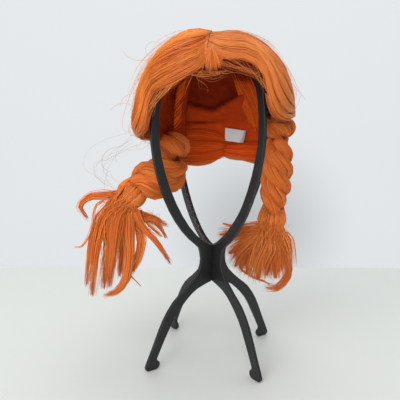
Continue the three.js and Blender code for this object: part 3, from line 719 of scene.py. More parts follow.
def cloth_weave_group():
    """A plain weave: crossed threads as relief, with the tone of each thread a little different."""
    tree, given, out = new_group("cloth_weave", dict(Threads="Float"), dict(Tone="Float", Relief="Float"))
    place = object_place(tree)
    scaled = add(tree, "VectorMath", {0: place, "Scale": given["Threads"]}, operation="SCALE")[0]
    axes = add(tree, "SeparateXYZ", {0: scaled})
    warp = maths(tree, "SINE", maths(tree, "ADD", axes["X"], axes["Y"]), 0.0)
    weft = maths(tree, "SINE", axes["Z"], 0.0)
    tree.links.new(noise(tree, place, scale=140.0, detail=4.0), out["Tone"])
    tree.links.new(maths(tree, "MULTIPLY", warp, weft), out["Relief"])
    return tree


def handling_marks_group():
    """Scuff patches, specks of lint in some regions, and grains of dust."""
    tree, given, out = new_group(
        "handling_marks", dict(Scuffs="Float", Lint="Float", Dust="Float"),
        dict(Scuff="Float", Speck="Float"),
    )
    place = object_place(tree)
    cloud = noise(tree, place, scale=22.0, detail=6.0, Roughness=0.7)
    scuff = maths(tree, "MULTIPLY", cloud, given["Scuffs"])
    region = maths(tree, "GREATER_THAN", noise(tree, place, scale=35.0, detail=3.0), LINT.region)
    lint = maths(tree, "MULTIPLY", dots(tree, place, LINT.scale, LINT.size), region)
    lint = maths(tree, "MULTIPLY", lint, given["Lint"])
    dust = maths(tree, "MULTIPLY", dots(tree, place, DUST_GRAIN.scale, DUST_GRAIN.size), given["Dust"])
    tree.links.new(scuff, out["Scuff"])
    tree.links.new(maths(tree, "MAXIMUM", lint, dust), out["Speck"])
    return tree


FIBRE_TONE = fibre_tone_group()
CLOTH_WEAVE = cloth_weave_group()
HANDLING_MARKS = handling_marks_group()


def new_material(name, **plain):
    """A material with constants set on its shader's own sockets: the tree and the shader's inputs."""
    material = bpy.data.materials.new(name)
    material.use_nodes = True
    shader = material.node_tree.nodes["Principled BSDF"]
    for key, value in plain.items():
        shader.inputs[key.replace("_", " ")].default_value = value
    return material, material.node_tree, shader.inputs


def hair_material(name, lift, sheen=0.12, specular=0.35, shade=(1.0, 1.0, 1.0)):
    material, tree, shader = new_material(
        name, Roughness=0.5, Specular_IOR_Level=specular, Sheen_Weight=sheen, Sheen_Tint=HAIR_SHEEN,
    )
    values = {label: attribute(tree, label.lower()) for label in ("Tint", "Along", "Across")}
    tone = use_group(tree, FIBRE_TONE, {**values, "Lift": lift})
    colour = blend_colours(tree, 1.0, tone["Color"], (*shade, 1.0), "MULTIPLY")
    tree.links.new(colour, shader["Base Color"])
    bump(tree, tone["Relief"], *HAIR_BUMP, shader["Normal"])
    return material


def cloth_material(name, dark, light, threads):
    material, tree, shader = new_material(name, Roughness=0.9, Specular_IOR_Level=0.12)
    weave = use_group(tree, CLOTH_WEAVE, {"Threads": threads})
    parts = dict(relief=weave["Relief"], threads=weave["Tone"], tint=attribute(tree, "tint"))
    tone = weighted(tree, *((value, CLOTH_MIX[key]) for key, value in parts.items()))
    tree.links.new(ramp(tree, tone, tuple(zip(CLOTH_RAMP, (dark, light)))), shader["Base Color"])
    bump(tree, weave["Relief"], *CLOTH_BUMP, shader["Normal"])
    return material


def stand_material():
    material, tree, shader = new_material("stand_plastic", Roughness=0.42, Specular_IOR_Level=0.45)
    dust = attribute(tree, "dust")
    marks = use_group(tree, HANDLING_MARKS, {"Scuffs": 1.0, "Lint": LINT.amount, "Dust": dust})
    base = ramp(tree, marks["Scuff"], STAND_TONES)
    tree.links.new(blend_colours(tree, marks["Speck"], base, LINT.colour), shader["Base Color"])
    tree.links.new(add(tree, "MapRange", {"Value": marks["Scuff"], **STAND_GLOSS})[0], shader["Roughness"])
    grain = noise(tree, object_place(tree), scale=1400.0, detail=2.0)
    bump(tree, grain, *STAND_BUMP, shader["Normal"])
    return material


HAIR = hair_material("hair_fibre", lift=0.0, shade=(0.95, 1.0, 1.0))
PLAIT_HAIR = hair_material("plait_fibre", lift=0.02, shade=(1.0, 0.93, 0.92))
TIE_HAIR = hair_material("tie_fibre", lift=-0.05)
# A redder copy of the hair's colour for the hair inside the cap: painted red light that shines through the
# hair into the cap
SHADED_LINING_HAIR = hair_material("lining_fibre_shaded_copy", lift=0.0, sheen=0.0, specular=0.08, shade=(1.0, 0.5, 0.4))
# The cap cloth's red is partly its own colour and partly painted light: made brighter and redder to stand in
# for the light that shines through the hair into the cap
CAP_CLOTH = cloth_material("cap_cloth", dark=(0.16, 0.010, 0.002), light=(0.92, 0.10, 0.010), threads=3600.0)
WEFT_CLOTH = cloth_material("weft_cloth", dark=(0.26, 0.017, 0.002), light=(1.0, 0.16, 0.016), threads=3000.0)
# The tag cloth's dark end is mainly reached by the painted shade at its crease
TAG_CLOTH = cloth_material("tag_cloth", dark=(0.42, 0.45, 0.47), light=(0.86, 0.88, 0.90), threads=5200.0)
STAND_PLASTIC = stand_material()


# Stand: the frames' own forms with softened edges

def stand_frame(node):
    bm = bmesh.new()
    bm.from_mesh(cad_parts[node].data)
    bmesh.ops.remove_doubles(bm, verts=bm.verts, dist=STAND_EDGE.merge)
    flat, sharp = (math.radians(STAND_EDGE[key]) for key in ("flat", "sharp"))
    bmesh.ops.dissolve_limit(bm, angle_limit=flat, verts=bm.verts, edges=bm.edges)
    edges = [e for e in bm.edges if e.is_manifold and e.calc_face_angle() > sharp]
    bmesh.ops.bevel(
        bm, geom=edges, offset=STAND_EDGE.bevel * MM, affect="EDGES",
        segments=STAND_EDGE.segments, profile=0.5, material=-1,
    )
    bmesh.ops.triangulate(bm, faces=bm.faces)
    bm.normal_update()
    dust = bm.verts.layers.float.new("dust")
    for vert in bm.verts:
        outward = Vector((vert.co.x - AXIS[0], vert.co.y - AXIS[1], 0.0)).normalized()
        rear_side = -vert.normal.y if vert.co.y > AXIS[1] else 0.0
        facing = smooth(max(-outward.dot(vert.normal), rear_side), *STAND_DUST.facing)
        vert[dust] = STAND_DUST.most * float(facing) * (vert.co.z > STAND_DUST.above * MM)
    mesh = bpy.data.meshes.new(node + "_moulding")
    bm.to_mesh(mesh)
    bm.free()
    mesh.shade_smooth()
    piece = settle(node + "_moulding", mesh, STAND_PLASTIC, "stand_plastic", node)
    piece.modifiers.new("flat faces", "WEIGHTED_NORMAL").weight = STAND_EDGE.keep_flat


# Cap and hair surfaces

def dent(ways):
    kept = 1.0
    for gather in GATHER.values():
        aim = unit(np.array(gather.at) - CENTRE)
        away = np.degrees(np.arccos(np.clip(ways @ aim, -1, 1)))
        kept = kept * (1 - gather.dent * (1 - smooth(away, gather.spread * DENT_FLOOR, gather.spread)))
    return kept


def dome_radius(ways, dome):
    """How far a dome's surface lies from the centre in each direction."""
    x, y, z = np.moveaxis(ways, -1, 0)
    aside = (np.abs(x) / dome.side) ** PLAN_POWER
    fore = (np.abs(y) / np.where(y < 0, dome.front, dome.back)) ** PLAN_POWER
    level = (aside + fore) ** (1 / PLAN_POWER)
    up = np.abs(z) / np.where(z > 0, dome.top, dome.bottom)
    return dent(ways) / (level ** dome.power + up ** dome.power) ** (1 / dome.power)


def from_centre(ways, radius):
    return CENTRE + ways * radius[..., None]


def direction(azimuth, polar):
    """Azimuth runs from the face (0) to +X (90) and the nape (180), polar from the crown downward."""
    around = np.radians(azimuth)
    flat = np.sin(polar)
    return np.stack((flat * np.sin(around), -flat * np.cos(around), np.cos(polar)), axis=-1)


def polar_at(azimuth, height):
    """The polar angle at which the cap's inner wall reaches a height."""
    low = np.zeros(np.broadcast(azimuth, height).shape)
    high = np.full_like(low, POLAR_SEARCH.last)
    for _ in range(POLAR_SEARCH.halvings):
        middle = (low + high) / 2
        ways = direction(azimuth, middle)
        above = CENTRE[2] + ways[..., 2] * dome_radius(ways, CAP) > height
        low, high = np.where(above, middle, low), np.where(above, high, middle)
    return low


def cap_point(azimuth, height, offset):
    ways = direction(azimuth, polar_at(azimuth, height))
    return from_centre(ways, dome_radius(ways, CAP) + offset)


def rim_height(azimuth):
    """The height of the cap's rim, by smooth steps between its rows."""
    size = np.abs(azimuth)
    places = np.array(RIM_AZIMUTHS, float)
    i = np.clip(np.searchsorted(places, size) - 1, 0, len(places) - 2)
    step = smooth(size, places[i], places[i + 1])
    left, right = (mix(z[i], z[i + 1], step) for z in (np.array(CAP_RIM[side], float) for side in SIDES))
    return np.where(azimuth < 0, left, right)


def fold_lines(azimuth, z):
    """Depths below the fold and below the seam, and the shares of both that show at an azimuth."""
    back = np.where(azimuth < 0, -180 - azimuth, 180 - azimuth)
    slope = np.where(back < FOLD.middle, FOLD.left_slope, FOLD.right_slope)
    below = FOLD.low + slope * np.abs(back - FOLD.middle) - z
    under = SEAM.height + SEAM.tilt * back - z
    window = 1 - smooth(np.abs(back), *(FOLD.wide * share for share in FOLD.fade))
    seam = window * (1 - smooth(back, *(SEAM.stop + past for past in SEAM.fade)))
    return back, below, under, window, seam


def cap_folds(azimuth, z):
    """How far the inner wall stands inward of the plain dome."""
    def welt(row, depth):
        return row.depth * smooth(depth, *row.rise) * (1 - smooth(depth, *row.fall))

    back, below, under, window, seam = fold_lines(azimuth, z)
    inward = welt(FOLD, below) * window + welt(SEAM, under) * seam
    wefts = WEFTS.depth * np.abs(np.sin(math.pi * z / WEFTS.pitch))
    gathers = np.sin(np.radians(back) * CAP_GATHERS.around + z * CAP_GATHERS.lean)
    gathers = CAP_GATHERS.depth * gathers * (1 - smooth(z, *CAP_GATHERS.fade))
    return inward + wefts + gathers * window


def cap_painted_shading(azimuth, z):
    """Painted shade under the crown and in the creases, painted light below the fold and on the side walls.
    """
    back, below, under, window, seam = fold_lines(azimuth, z)
    reach = CAP_SHADING_REACH
    tint = mix(CAP_PAINTED_SHADING.crown, CAP_PAINTED_SHADING.middle, smooth(below, *reach.middle))
    tint = tint + CAP_PAINTED_SHADING.low * smooth(under, *reach.low)
    crease = np.exp(-(below - FOLD.rise[0]) ** 2 / reach.fold) * window
    tint = tint - CAP_PAINTED_SHADING.crease * (crease + np.exp(-under ** 2 / reach.seam) * seam)
    tint = mix(tint, CAP_PAINTED_SHADING.wall, smooth(np.abs(back), *reach.wall))
    # Toward the front rim the tint falls to the net's own darker colour
    return mix(tint, CAP_PAINTED_SHADING.rim, smooth(np.abs(back), *reach.rim))


def wig_cap():
    def ways_at(u, v):
        azimuth = mix(-180.0, 180.0, u)
        polar = polar_at(azimuth, rim_height(azimuth)) * v
        return azimuth, direction(azimuth, polar)

    def outer(u, v):
        _, ways = ways_at(u, v)
        return from_centre(ways, dome_radius(ways, CAP) + CAP_WALL)

    def inner(u, v):
        azimuth, ways = ways_at(u, v)
        radius = dome_radius(ways, CAP)
        folds = cap_folds(azimuth, CENTRE[2] + ways[:, 2] * radius) * smooth(v, *CAP_GRID.plain_crown)
        return from_centre(ways, radius - folds)

    cloth = bmesh_chunk(closed_shell(CAP_GRID.columns, CAP_GRID.rows, outer, inner, CAP_GRID.merge))
    x, y, z = cloth["verts"].T
    # Painted light and shade on the inner cloth, carried as its tint
    cloth["tint"] = cap_painted_shading(np.degrees(np.arctan2(x, -y)), z)
    add_piece("wig_cap_cloth", [cloth], CAP_CLOTH, "cap_cloth", "wig_cap")


def part_root(across):
    """Directions along the part: 0 at the face and 1 at the nape."""
    angle = np.radians(mix(PART_LINE.front_angle, PART_LINE.nape_angle, across))
    start = mix(PART_LINE.front_x, PART_LINE.nape_x, across) / CAP.top
    return unit(np.stack((start, -np.cos(angle), np.sin(angle)), axis=-1))


def combed(side, across, along):
    """The direction of the hair: across is 0 at the face and 1 at the nape, along is 0 at the part."""
    across, along = np.broadcast_arrays(np.asarray(across, float), along)
    end = unit(np.array(GATHER[side].aim) - CENTRE)
    span = PART_LINE.nape_angle - PART_LINE.front_angle
    ways = unit(mix(part_root(across), end, along[..., None]))
    edges = ((FACE_EDGE, 0.0, EDGE_ANGLES.face), (NAPE_EDGE, 1.0, EDGE_ANGLES.nape))
    for points, place, reach in edges:
        root = part_root(np.array(place))
        passed = unit(np.array(points[side], float) - CENTRE)
        line = even_line(np.vstack((root, passed, end)), EDGE_SAMPLES)
        share = np.linspace(0, 1, len(line))
        drawn = np.stack([np.interp(along, share, line[:, k]) for k in range(3)], axis=-1)
        drawn = drawn - unit(mix(root, end, along[..., None]))
        ways = ways + drawn * (1 - smooth(np.abs(across - place) * span, 0, reach))[..., None]
    return unit(ways)


def hair_levels(side, across, along):
    """The directions of the hair, the radius under it and its thickness there."""
    ways = combed(side, across, along)
    bottom = dome_radius(ways, CAP) + CAP_WALL + LIFT
    lock = np.abs(np.sin(math.pi * LOCKS.count * across))
    body = dome_radius(ways, HAIR_DOME[side]) - LOCKS.groove * (1 - lock) - bottom
    near_part = mix(THINNING.part, 1, smooth(along, 0, THINNING.part_reach))
    near_edge = mix(THINNING.edge, 1, smooth(np.minimum(across, 1 - across), 0, THINNING.edge_reach))
    near_end = mix(1, THINNING.end, smooth(along, THINNING.end_from, LOCKS.end))
    return ways, bottom, np.maximum(body * near_part * near_edge * near_end, LOCKS.least)


def toward_gather(along):
    """The share of the fine locks that is left as the hair nears its gather."""
    return mix(1, SUBLOCKS.kept, smooth(along, *SUBLOCKS.fade))


def hair_shell(side):
    """The body of the hair on one side, combed into fine locks."""
    shift = np.array((SIGN[side] * GAP, 0.0, 0.0))

    def level(across, along, top):
        ways, bottom, thickness = hair_levels(side, across, along * LOCKS.end)
        wander = SUBLOCKS.wander * np.sin(4 * along + 11 * across)
        fine = np.abs(np.sin(math.pi * (SUBLOCKS.count * across + wander)))
        relief = HAIR_SHELL.relief * toward_gather(along * LOCKS.end)
        body = thickness - HAIR_SHELL.under - relief * (1 - fine)
        return from_centre(ways, bottom + top * np.maximum(body, HAIR_SHELL.least)) + shift

    # Its tint is darker than the fibres': painted shade where it shows between them
    return bmesh_chunk(closed_shell(
        HAIR_SHELL.columns, HAIR_SHELL.rows,
        lambda u, v: level(u, v, 1.0), lambda u, v: level(u, v, 0.0),
    ), HAIR_SHELL.tint)


def bunch(side, rng):
    """The rounded bunch where a side's hair is drawn together, wrapped in fibres from end to end."""
    gather = GATHER[side]
    size = np.array(gather.size, float)
    bm = bmesh.new()
    place = Matrix.Translation(gather.at) @ Matrix.Diagonal((*(BUNCH.inside * size), 1))
    bmesh.ops.create_icosphere(bm, subdivisions=4, radius=1.0, matrix=place)
    count = BUNCH.fibres
    ahead = unit(gather.axis)
    aside = unit(np.cross(ahead, BUNCH.upright))
    turn = 2 * math.pi * spaced(rng, count)[:, None]
    polar = math.pi * np.linspace(*BUNCH.ends, BUNCH.points)[None, :]
    turn = turn + BUNCH.twist * np.sin(polar + 2) + BUNCH.waver * np.sin(4 * polar + turn * 5)
    ring = ring_on(aside, np.cross(ahead, aside), turn)
    ways = ahead * -np.cos(polar)[..., None] + ring * np.sin(polar)[..., None]
    locks = np.abs(np.sin(BUNCH.locks * turn + BUNCH.lean * polar))
    reach = column(rng, BUNCH.reach, count) + BUNCH.depth * (locks - 0.5)
    lines = np.array(gather.at) + ways * size * reach[..., None]
    middle = BUNCH.points // 2
    # Painted light on the raised locks, and random tone
    tint = BUNCH_TINT.low + BUNCH_TINT.locks * locks[:, middle] + rng.normal(0, BUNCH_TINT.noise, count)
    # Painted shade at the bunch's ends, where it meets the hair and the plait
    tint = tint[:, None] - PAINTED_CREASE_SHADE.bunch * (1 - smooth(np.sin(polar), *BUNCH_TINT.poles))
    return [bmesh_chunk(bm, BUNCH_TINT.core), tubes(lines, varied(rng, BUNCH.radius, count), tint, tip=0.7)]


def hair_lines(side, rng, across, lift):
    """Fibre lines on one side, from the part over the dome and into the bunch."""
    count = len(across)
    along = np.linspace(0, LOCKS.end, HAIR_FIBRES.points)[None, :]
    phase = rng.random((count, 1)) * 2 * math.pi
    own = across[:, None] + HAIR_FIBRES.waver * np.sin(phase + along * 7)
    middle = (np.floor(own[:, :1] * SUBLOCKS.count) + 0.5) / SUBLOCKS.count
    clump = HAIR_FIBRES.clump * smooth(along, *HAIR_FIBRES.clump_reach) * toward_gather(along)
    drawn = np.clip(mix(own, middle, clump), 0, 1)
    ways, bottom, thickness = hair_levels(side, drawn, along)
    arch = np.clip(1 - (2 * SUBLOCKS.count * (drawn - middle)) ** 2, -1, 1)
    ripple = HAIR_FIBRES.ripple * np.sin(2 * phase + 9 * along)
    lines = from_centre(ways, bottom + thickness + lift + HAIR_FIBRES.arch * arch + ripple)
    lines[..., 0] += SIGN[side] * GAP
    gather = GATHER[side]
    inside = np.array(gather.size) * HAIR_FIBRES.in_bunch
    goal = np.array(gather.at) + rng.normal(size=(count, 3)) * inside
    last = lines[:, -1]
    heading = unit(last - lines[:, -2])
    reach = np.linalg.norm(goal - last, axis=1, keepdims=True)
    bend = last + heading * reach * gather.bend
    t = steps(HAIR_FIBRES.tail + 1)[:, 1:, None]
    curve = last[:, None] * (1 - t) ** 2 + bend[:, None] * 2 * t * (1 - t) + goal[:, None] * t ** 2
    return np.concatenate((lines, curve), axis=1)


def nape_roll(side, rng):
    """The hair that shows inside the nape, combed sideways in a soft roll."""
    roll = NAPE_ROLLS[side]
    count = NAPE_ROLL.fibres
    share = spaced(rng, count)[:, None]
    along = steps(NAPE_ROLL.points)
    azimuth = mix(roll.start, roll.end, along) + around_zero(rng, NAPE_ROLL.ends, count)
    low, high = (np.interp(along, ROLL_PLACES, roll[edge]) for edge in ("low", "high"))
    height = mix(low, high, share) + rng.normal(0, NAPE_ROLL.uneven, (count, 1))
    height = height + NAPE_ROLL.wave * np.sin(9 * along + 5 * share)
    drawn = NAPE_ROLL.drawn * smooth(along, NAPE_ROLL.drawn_from, 1.0)
    height = mix(height, GATHER[side].at[2], drawn)
    round_off = np.sqrt(np.sin(math.pi * np.clip(share, *NAPE_ROLL.round_off)))
    puff = roll.puff * round_off * np.sin(math.pi * mix(*NAPE_ROLL.swell, along))
    crease = NAPE_ROLL.crease * np.abs(np.sin(share * 9 + along * 3))
    crease = crease + around_zero(rng, NAPE_ROLL.rough, count)
    lines = cap_point(azimuth, height, NAPE_ROLL.off_wall - puff - crease)
    # Painted light on the fibres that stand further off the wall, and random tone
    tint = NAPE_TINT.low + NAPE_TINT.crease * crease[:, NAPE_TINT.at] + rng.normal(0, NAPE_TINT.noise, count)
    return tubes(lines, varied(rng, NAPE_ROLL.radius, count), tint, tip=0.6)


def lining(side, rng):
    """Hair of the wefts that hangs down the inside of the cap's side walls."""
    wall, hairs = LINING[side], LINING_HAIRS
    count = hairs.count
    share = rng.random((count, 1))
    along = steps(hairs.points)
    azimuth = mix(wall.start, wall.end, share) + wall.sweep * along ** 2
    azimuth = azimuth + rng.normal(0, hairs.turn, (count, 1))
    high = wall.high - hairs.slope * share + rng.normal(0, hairs.high, (count, 1))
    height = mix(high, wall.low + rng.normal(0, hairs.low, (count, 1)), along)
    off_wall = column(rng, hairs.off_wall, count) + hairs.wave * np.sin(6 * along + 8 * share)
    lines = cap_point(azimuth, height, -off_wall)
    return tubes(lines, varied(rng, hairs.radius, count), rng.uniform(*hairs.tint, count), tip=0.5)


# Strays

def under_edge(side, rng):
    """Darker hair that shows beneath the front edge where it runs down past the stand's arm."""
    count, hairs = UNDER_EDGE[side].count, UNDER_HAIRS
    share = steps(hairs.points)
    along = mix(*hairs.along, share) + around_zero(rng, hairs.uneven, count)
    ways, bottom, _ = hair_levels(side, np.zeros((count, 1)), along)
    deep = rng.random((count, 1)) * UNDER_EDGE[side].deep
    deep = deep * mix(hairs.root, 1.0, smooth(share, 0, hairs.grow))
    lines = from_centre(ways, bottom + column(rng, hairs.lift, count))
    lines[..., 0] -= SIGN[side] * deep
    lines[..., 1] += hairs.back * deep
    lines = lines + sway(rng, count, hairs.sway, hairs.rates, along)
    return tubes(lines, varied(rng, hairs.radius, count), rng.uniform(*hairs.tint, count), tip=0.4)


def loose_fibres(side, rng):
    """Single fibres that leave the combed surface for part of their length."""
    count, hairs = LOOSE[side], LOOSE_FIBRE
    across = rng.beta(*hairs.across, count)[:, None]
    share = steps(hairs.points)
    start = column(rng, hairs.start, count)
    along = np.minimum(start + column(rng, hairs.length, count) * share, hairs.last)
    wander = across + rng.normal(0, hairs.wander, (count, 1)) * share
    ways, bottom, thickness = hair_levels(side, np.clip(wander, 0, 1), along)
    height = rng.gamma(*hairs.height, (count, 1)) * share ** column(rng, hairs.rise, count)
    lines = from_centre(ways, bottom + thickness + np.minimum(height, mix(*hairs.cap, along)))
    lines = lines + sway(rng, count, hairs.sway, hairs.rates, share) * share[..., None]
    return tubes(lines, hairs.radius, rng.uniform(*hairs.tint, count), tip=0.5)


def curled(start, drift, radius, rng):
    """Single hairs that curl as they drift away from where they start."""
    count = len(start)
    share = steps(CURL.points)
    radius = radius * column(rng, CURL.radius, count)
    turn = column(rng, CURL.turn, count) * share * np.where(rng.random((count, 1)) < 0.5, 1, -1)
    begin = column(rng, (0, 2 * math.pi), count)
    lines = start[:, None] + drift[:, None] * share[..., None]
    lines[..., 0] += radius * (np.cos(turn + begin) - np.cos(begin))
    lines[..., 2] += radius * (np.sin(turn + begin) - np.sin(begin))
    return tubes(lines, LOOSE_FIBRE.radius, rng.uniform(*CURL.tint, count), tip=0.6)


def curls(side, rng):
    """Frizz: single fibres that spring out of the side of the hair and curl."""
    row = CURLS[side]
    count = row.count
    across, along = (rng.uniform(*CURL_PLACE[key], count) for key in ("across", "along"))
    ways, bottom, thickness = hair_levels(side, across, along)
    start = from_centre(ways, bottom + thickness - CURL_PLACE.sunk)
    way = np.array(CURL_PLACE.way) * (SIGN[side], 1, 1)
    return curled(start, way * row.drift * column(rng, CURL_PLACE.drift, count), row.radius, rng)


def drifting(rng):
    """Long single hairs that hang in loose loops between the left side of the hair and its plait."""
    count = DRIFTING.count
    share = steps(DRIFTING.points)
    start, end = (
        np.array(DRIFTING[key]) + rng.normal(size=(count, 3)) * DRIFTING[key + "_spread"]
        for key in ("start", "end")
    )
    lines = mix(start[:, None], end[:, None], share[..., None])
    turn = column(rng, DRIFTING.turn, count) * share + column(rng, (0, 2 * math.pi), count)
    loop = column(rng, DRIFTING.loop, count) * np.sin(math.pi * share)
    out = column(rng, DRIFTING.out, count) * np.sin(math.pi * share)
    lines[..., 0] += loop * np.cos(turn) - out
    lines[..., 2] += loop * np.sin(turn)
    return tubes(lines, DRIFTING.radius, rng.uniform(*DRIFTING.tint, count), tip=0.8)


def painted_neck_shade(rng):
    """Dark hairs that paint shade into the crease between the right side of the hair and the start of its
    plait.
    """
    at, size = (np.array(GATHER["right"][key], float) for key in ("at", "size"))
    count = NECK_SHADE_HAIRS.count
    turn = np.linspace(-NECK_SHADE_HAIRS.half_turn, NECK_SHADE_HAIRS.half_turn, NECK_SHADE_HAIRS.points)[None, :]
    turn = turn + around_zero(rng, NECK_SHADE_HAIRS.uneven, count)
    rise = mix(NECK_SHADE_HAIRS.low, NECK_SHADE_HAIRS.high, rng.random((count, 1)))
    rise = rise + NECK_SHADE_HAIRS.wave * np.sin(3 * turn + rng.random((count, 1)) * ANY_PHASE)
    belt = np.sqrt(np.clip(1 - (rise / size[2]) ** 2, NECK_SHADE_HAIRS.least, 1)) + column(rng, NECK_SHADE_HAIRS.proud, count)
    lines = at + np.stack((size[0] * belt * np.sin(turn), -size[1] * belt * np.cos(turn), rise), axis=-1)
    return tubes(lines, varied(rng, NECK_SHADE_HAIRS.radius, count), rng.uniform(*NECK_SHADE_HAIRS.tint, count), tip=0.4)


def edge_strands(side, rng):
    """Thin strands that stray from the front edge, a few of which hang over the face opening."""
    row, plain, hung = EDGE_STRANDS[side], EDGE_STRAND, HANGING_STRAND
    count = row.count
    edge = np.zeros(count)
    hanging = rng.random(count) < row.hanging
    along = np.where(hanging, rng.uniform(*hung.along, count), rng.uniform(*row.reach, count))
    ways, bottom, thickness = hair_levels(side, edge, along)
    start = from_centre(ways, bottom + rng.random(count) * thickness)
    share = steps(plain.points)
    drop = np.where(hanging, rng.uniform(*hung.drop, count), rng.gamma(plain.fall_shape, row.fall, count))
    aside = np.where(hanging, rng.uniform(*hung.aside, count), rng.normal(0, plain.aside, count))
    fall = np.stack((aside, rng.uniform(*plain.back, count), -drop), axis=1)
    ahead = combed(side, edge, along + np.where(hanging, hung.ahead, plain.ahead)) - ways
    lines = start[:, None] + ahead[:, None] * plain.run * share[..., None]
    lines = lines + fall[:, None] * share[..., None] ** 2
    size = np.where(hanging, hung.sway, plain.sway)[:, None, None]
    lines = lines + size * sway(rng, count, 1, STRAND_RATES, share)
    tint = two_tints(rng, count, **EDGE_TINT)
    radius = rng.uniform(*plain.radius, count) * np.where(hanging, hung.thin, 1.0)
    return tubes(lines, radius, tint, tip=0.4)


def hair_side(side, rng):
    count = HAIR_FIBRES.count
    across = spaced(rng, count)
    lift = column(rng, HAIR_FIBRES.lift, count)
    lines = hair_lines(side, rng, across, lift)
    group = rng.random(SUBLOCKS.count + 1)[(across * SUBLOCKS.count).astype(int)]
    # Painted light and shade by how far out a fibre lies, with random tone by lock
    tint = HAIR_TINT.middle + HAIR_TINT.lift * lift[:, 0] + HAIR_TINT.lock * (group - 0.5)
    tint = np.clip(tint + rng.normal(0, HAIR_TINT.noise, count), 0, 1)
    radius = varied(rng, HAIR_FIBRES.radius, count)
    tint = np.where(rng.random(count) < DARK_FIBRES[side], HAIR_TINT.dark, tint)
    place = np.arange(lines.shape[1]) - HAIR_FIBRES.points
    # Painted shade on the fibres' tails as they go into the bunch
    tint = tint[:, None] - PAINTED_CREASE_SHADE.gather * smooth(place, -PAINTED_CREASE_SHADE.ahead, HAIR_FIBRES.tail - 1)
    gathered = bunch(side, rng)
    chunks = [hair_shell(side), tubes(lines, radius, tint)]
    chunks += [strays(side, rng) for strays in (loose_fibres, curls, edge_strands, under_edge)]
    if side == "left":
        chunks.append(drifting(rng))
    else:
        gathered.append(painted_neck_shade(rng))
    node = "hair_" + side
    add_piece(node + "_combed", chunks, HAIR, "hair", node)
    add_piece(node + "_bunch", gathered, PLAIT_HAIR, "hair", node)
    add_piece(node + "_lining", [nape_roll(side, rng), lining(side, rng)], SHADED_LINING_HAIR, "hair", node)


def fringe(row, rng):
    """Thin strands beside the tuft that sag across the top of the face opening."""
    count, strand = row.count, FRINGE_STRAND
    share = steps(strand.points)
    start, end = (
        np.array(row[key]) + rng.normal(size=(count, 2)) * strand.spread for key in ("start", "end")
    )
    azimuth, height = (mix(start[:, k:k + 1], end[:, k:k + 1], share) for k in (0, 1))
    height = height - row.sag * column(rng, strand.sag, count) * 4 * share * (1 - share)
    turn = share * column(rng, strand.rates, count) + rng.random((count, 1)) * ANY_PHASE
    height = height + strand.wave * np.sin(turn)
    lines = cap_point(azimuth, height, CAP_WALL + column(rng, strand.off_cap, count))
    tint = two_tints(rng, count, **FRINGE_TINT)
    return tubes(lines, rng.uniform(*strand.radius, count), tint, tip=0.4)


def front_tuft(rng):
    """The short lock at the front end of the part, with a slit in it."""
    count = TUFT.fibres
    share = np.sort(rng.random(count))[:, None]
    low_end = mix(TUFT.low_left, TUFT.low_right, share)
    low_end = low_end + np.where(low_end < TUFT.slit, -TUFT.slit_half, TUFT.slit_half)
    top_end = TUFT.tip + mix(-TUFT.tip_half, TUFT.tip_half, share)
    along = steps(TUFT.points)
    azimuth = mix(top_end, low_end, along ** TUFT.fan)
    bow = TUFT.bow * (2 * share - TUFT.bow_middle) ** 2
    height = mix(TUFT.high, TUFT.low + bow + column(rng, TUFT.foot, count), along)
    offset = CAP_WALL + GAP + mix(*TUFT.off_cap, along) + around_zero(rng, TUFT.uneven, count)
    lines = cap_point(azimuth, height, offset)
    chunks = [tubes(lines, TUFT.radius, rng.uniform(*TUFT.tint, count), tip=0.25)]
    chunks += [fringe(row, rng) for row in FRINGE]
    add_piece("front_tuft_fibres", chunks, HAIR, "hair", "front_tuft")


# Bands and tag inside the cap

def loop_inside(height):
    """Radius of the inside of the stand's arms at a height."""
    up = height > LOOP_INNER.middle
    power = np.where(up, LOOP_INNER.up_power, LOOP_INNER.down_power)
    rise = np.abs(height - LOOP_INNER.middle) / np.where(up, LOOP_INNER.up, LOOP_INNER.down)
    return LOOP_INNER.half_width * (1 - rise ** power) ** (1 / power)


def band_left_point(u, v, inward):
    azimuth = np.radians(BAND_LEFT.middle + mix(-1, 1, u) * BAND_LEFT.half_angle)
    height = mix(BAND_LEFT.low, BAND_LEFT.high, v)
    radius = loop_inside(height) - BAND_LEFT.off_arm - inward
    return np.stack((radius * np.sin(azimuth), -radius * np.cos(azimuth), height), axis=-1)


def band_right_point(u, v, inward):
    azimuth = BAND_RIGHT.middle + BAND_RIGHT.lean * (v - 0.5) + mix(-1, 1, u) * BAND_RIGHT.half_angle
    return cap_point(azimuth, mix(BAND_RIGHT.low, BAND_RIGHT.high, v), -INLAY - inward)


def tape(place):
    """The woven strip of a band, as a chunk."""
    full = BAND_THICKNESS * TAPE.thickness
    return bmesh_chunk(closed_shell(
        TAPE.columns, TAPE.rows,
        lambda u, v: place(u, v, np.zeros_like(u)), lambda u, v: place(u, v, np.full_like(u, full)),
    ), TAPE.tint)


def band_left(rng):
    """A tape sewn over with slanting ribs of hair."""
    count = RIBS.count
    row = np.arange(count)[:, None]
    share = steps(RIBS.points)
    v = (row + RIBS.slant * share + around_zero(rng, RIBS.uneven, count)) / (count + RIBS.slant)
    v = mix(RIBS.low, 1.0, v)
    u = mix(RIBS.outer, RIBS.inner, share) + around_zero(rng, RIBS.ends, count)
    ribs = band_left_point(u, v, BAND_THICKNESS * RIBS.seat + RIBS.puff * np.sin(math.pi * share))
    thick = RIBS.radius * rng.uniform(*RIBS.sizes, count)
    ribs = tubes(ribs, thick, rng.uniform(*RIBS.tint, count), tip=0.4, root=0.4, sides=RIBS.sides)
    chunks = [tape(band_left_point), ribs]
    add_piece("weft_band_left_ribbed", chunks, WEFT_CLOTH, "weft_cloth", "weft_band_left")


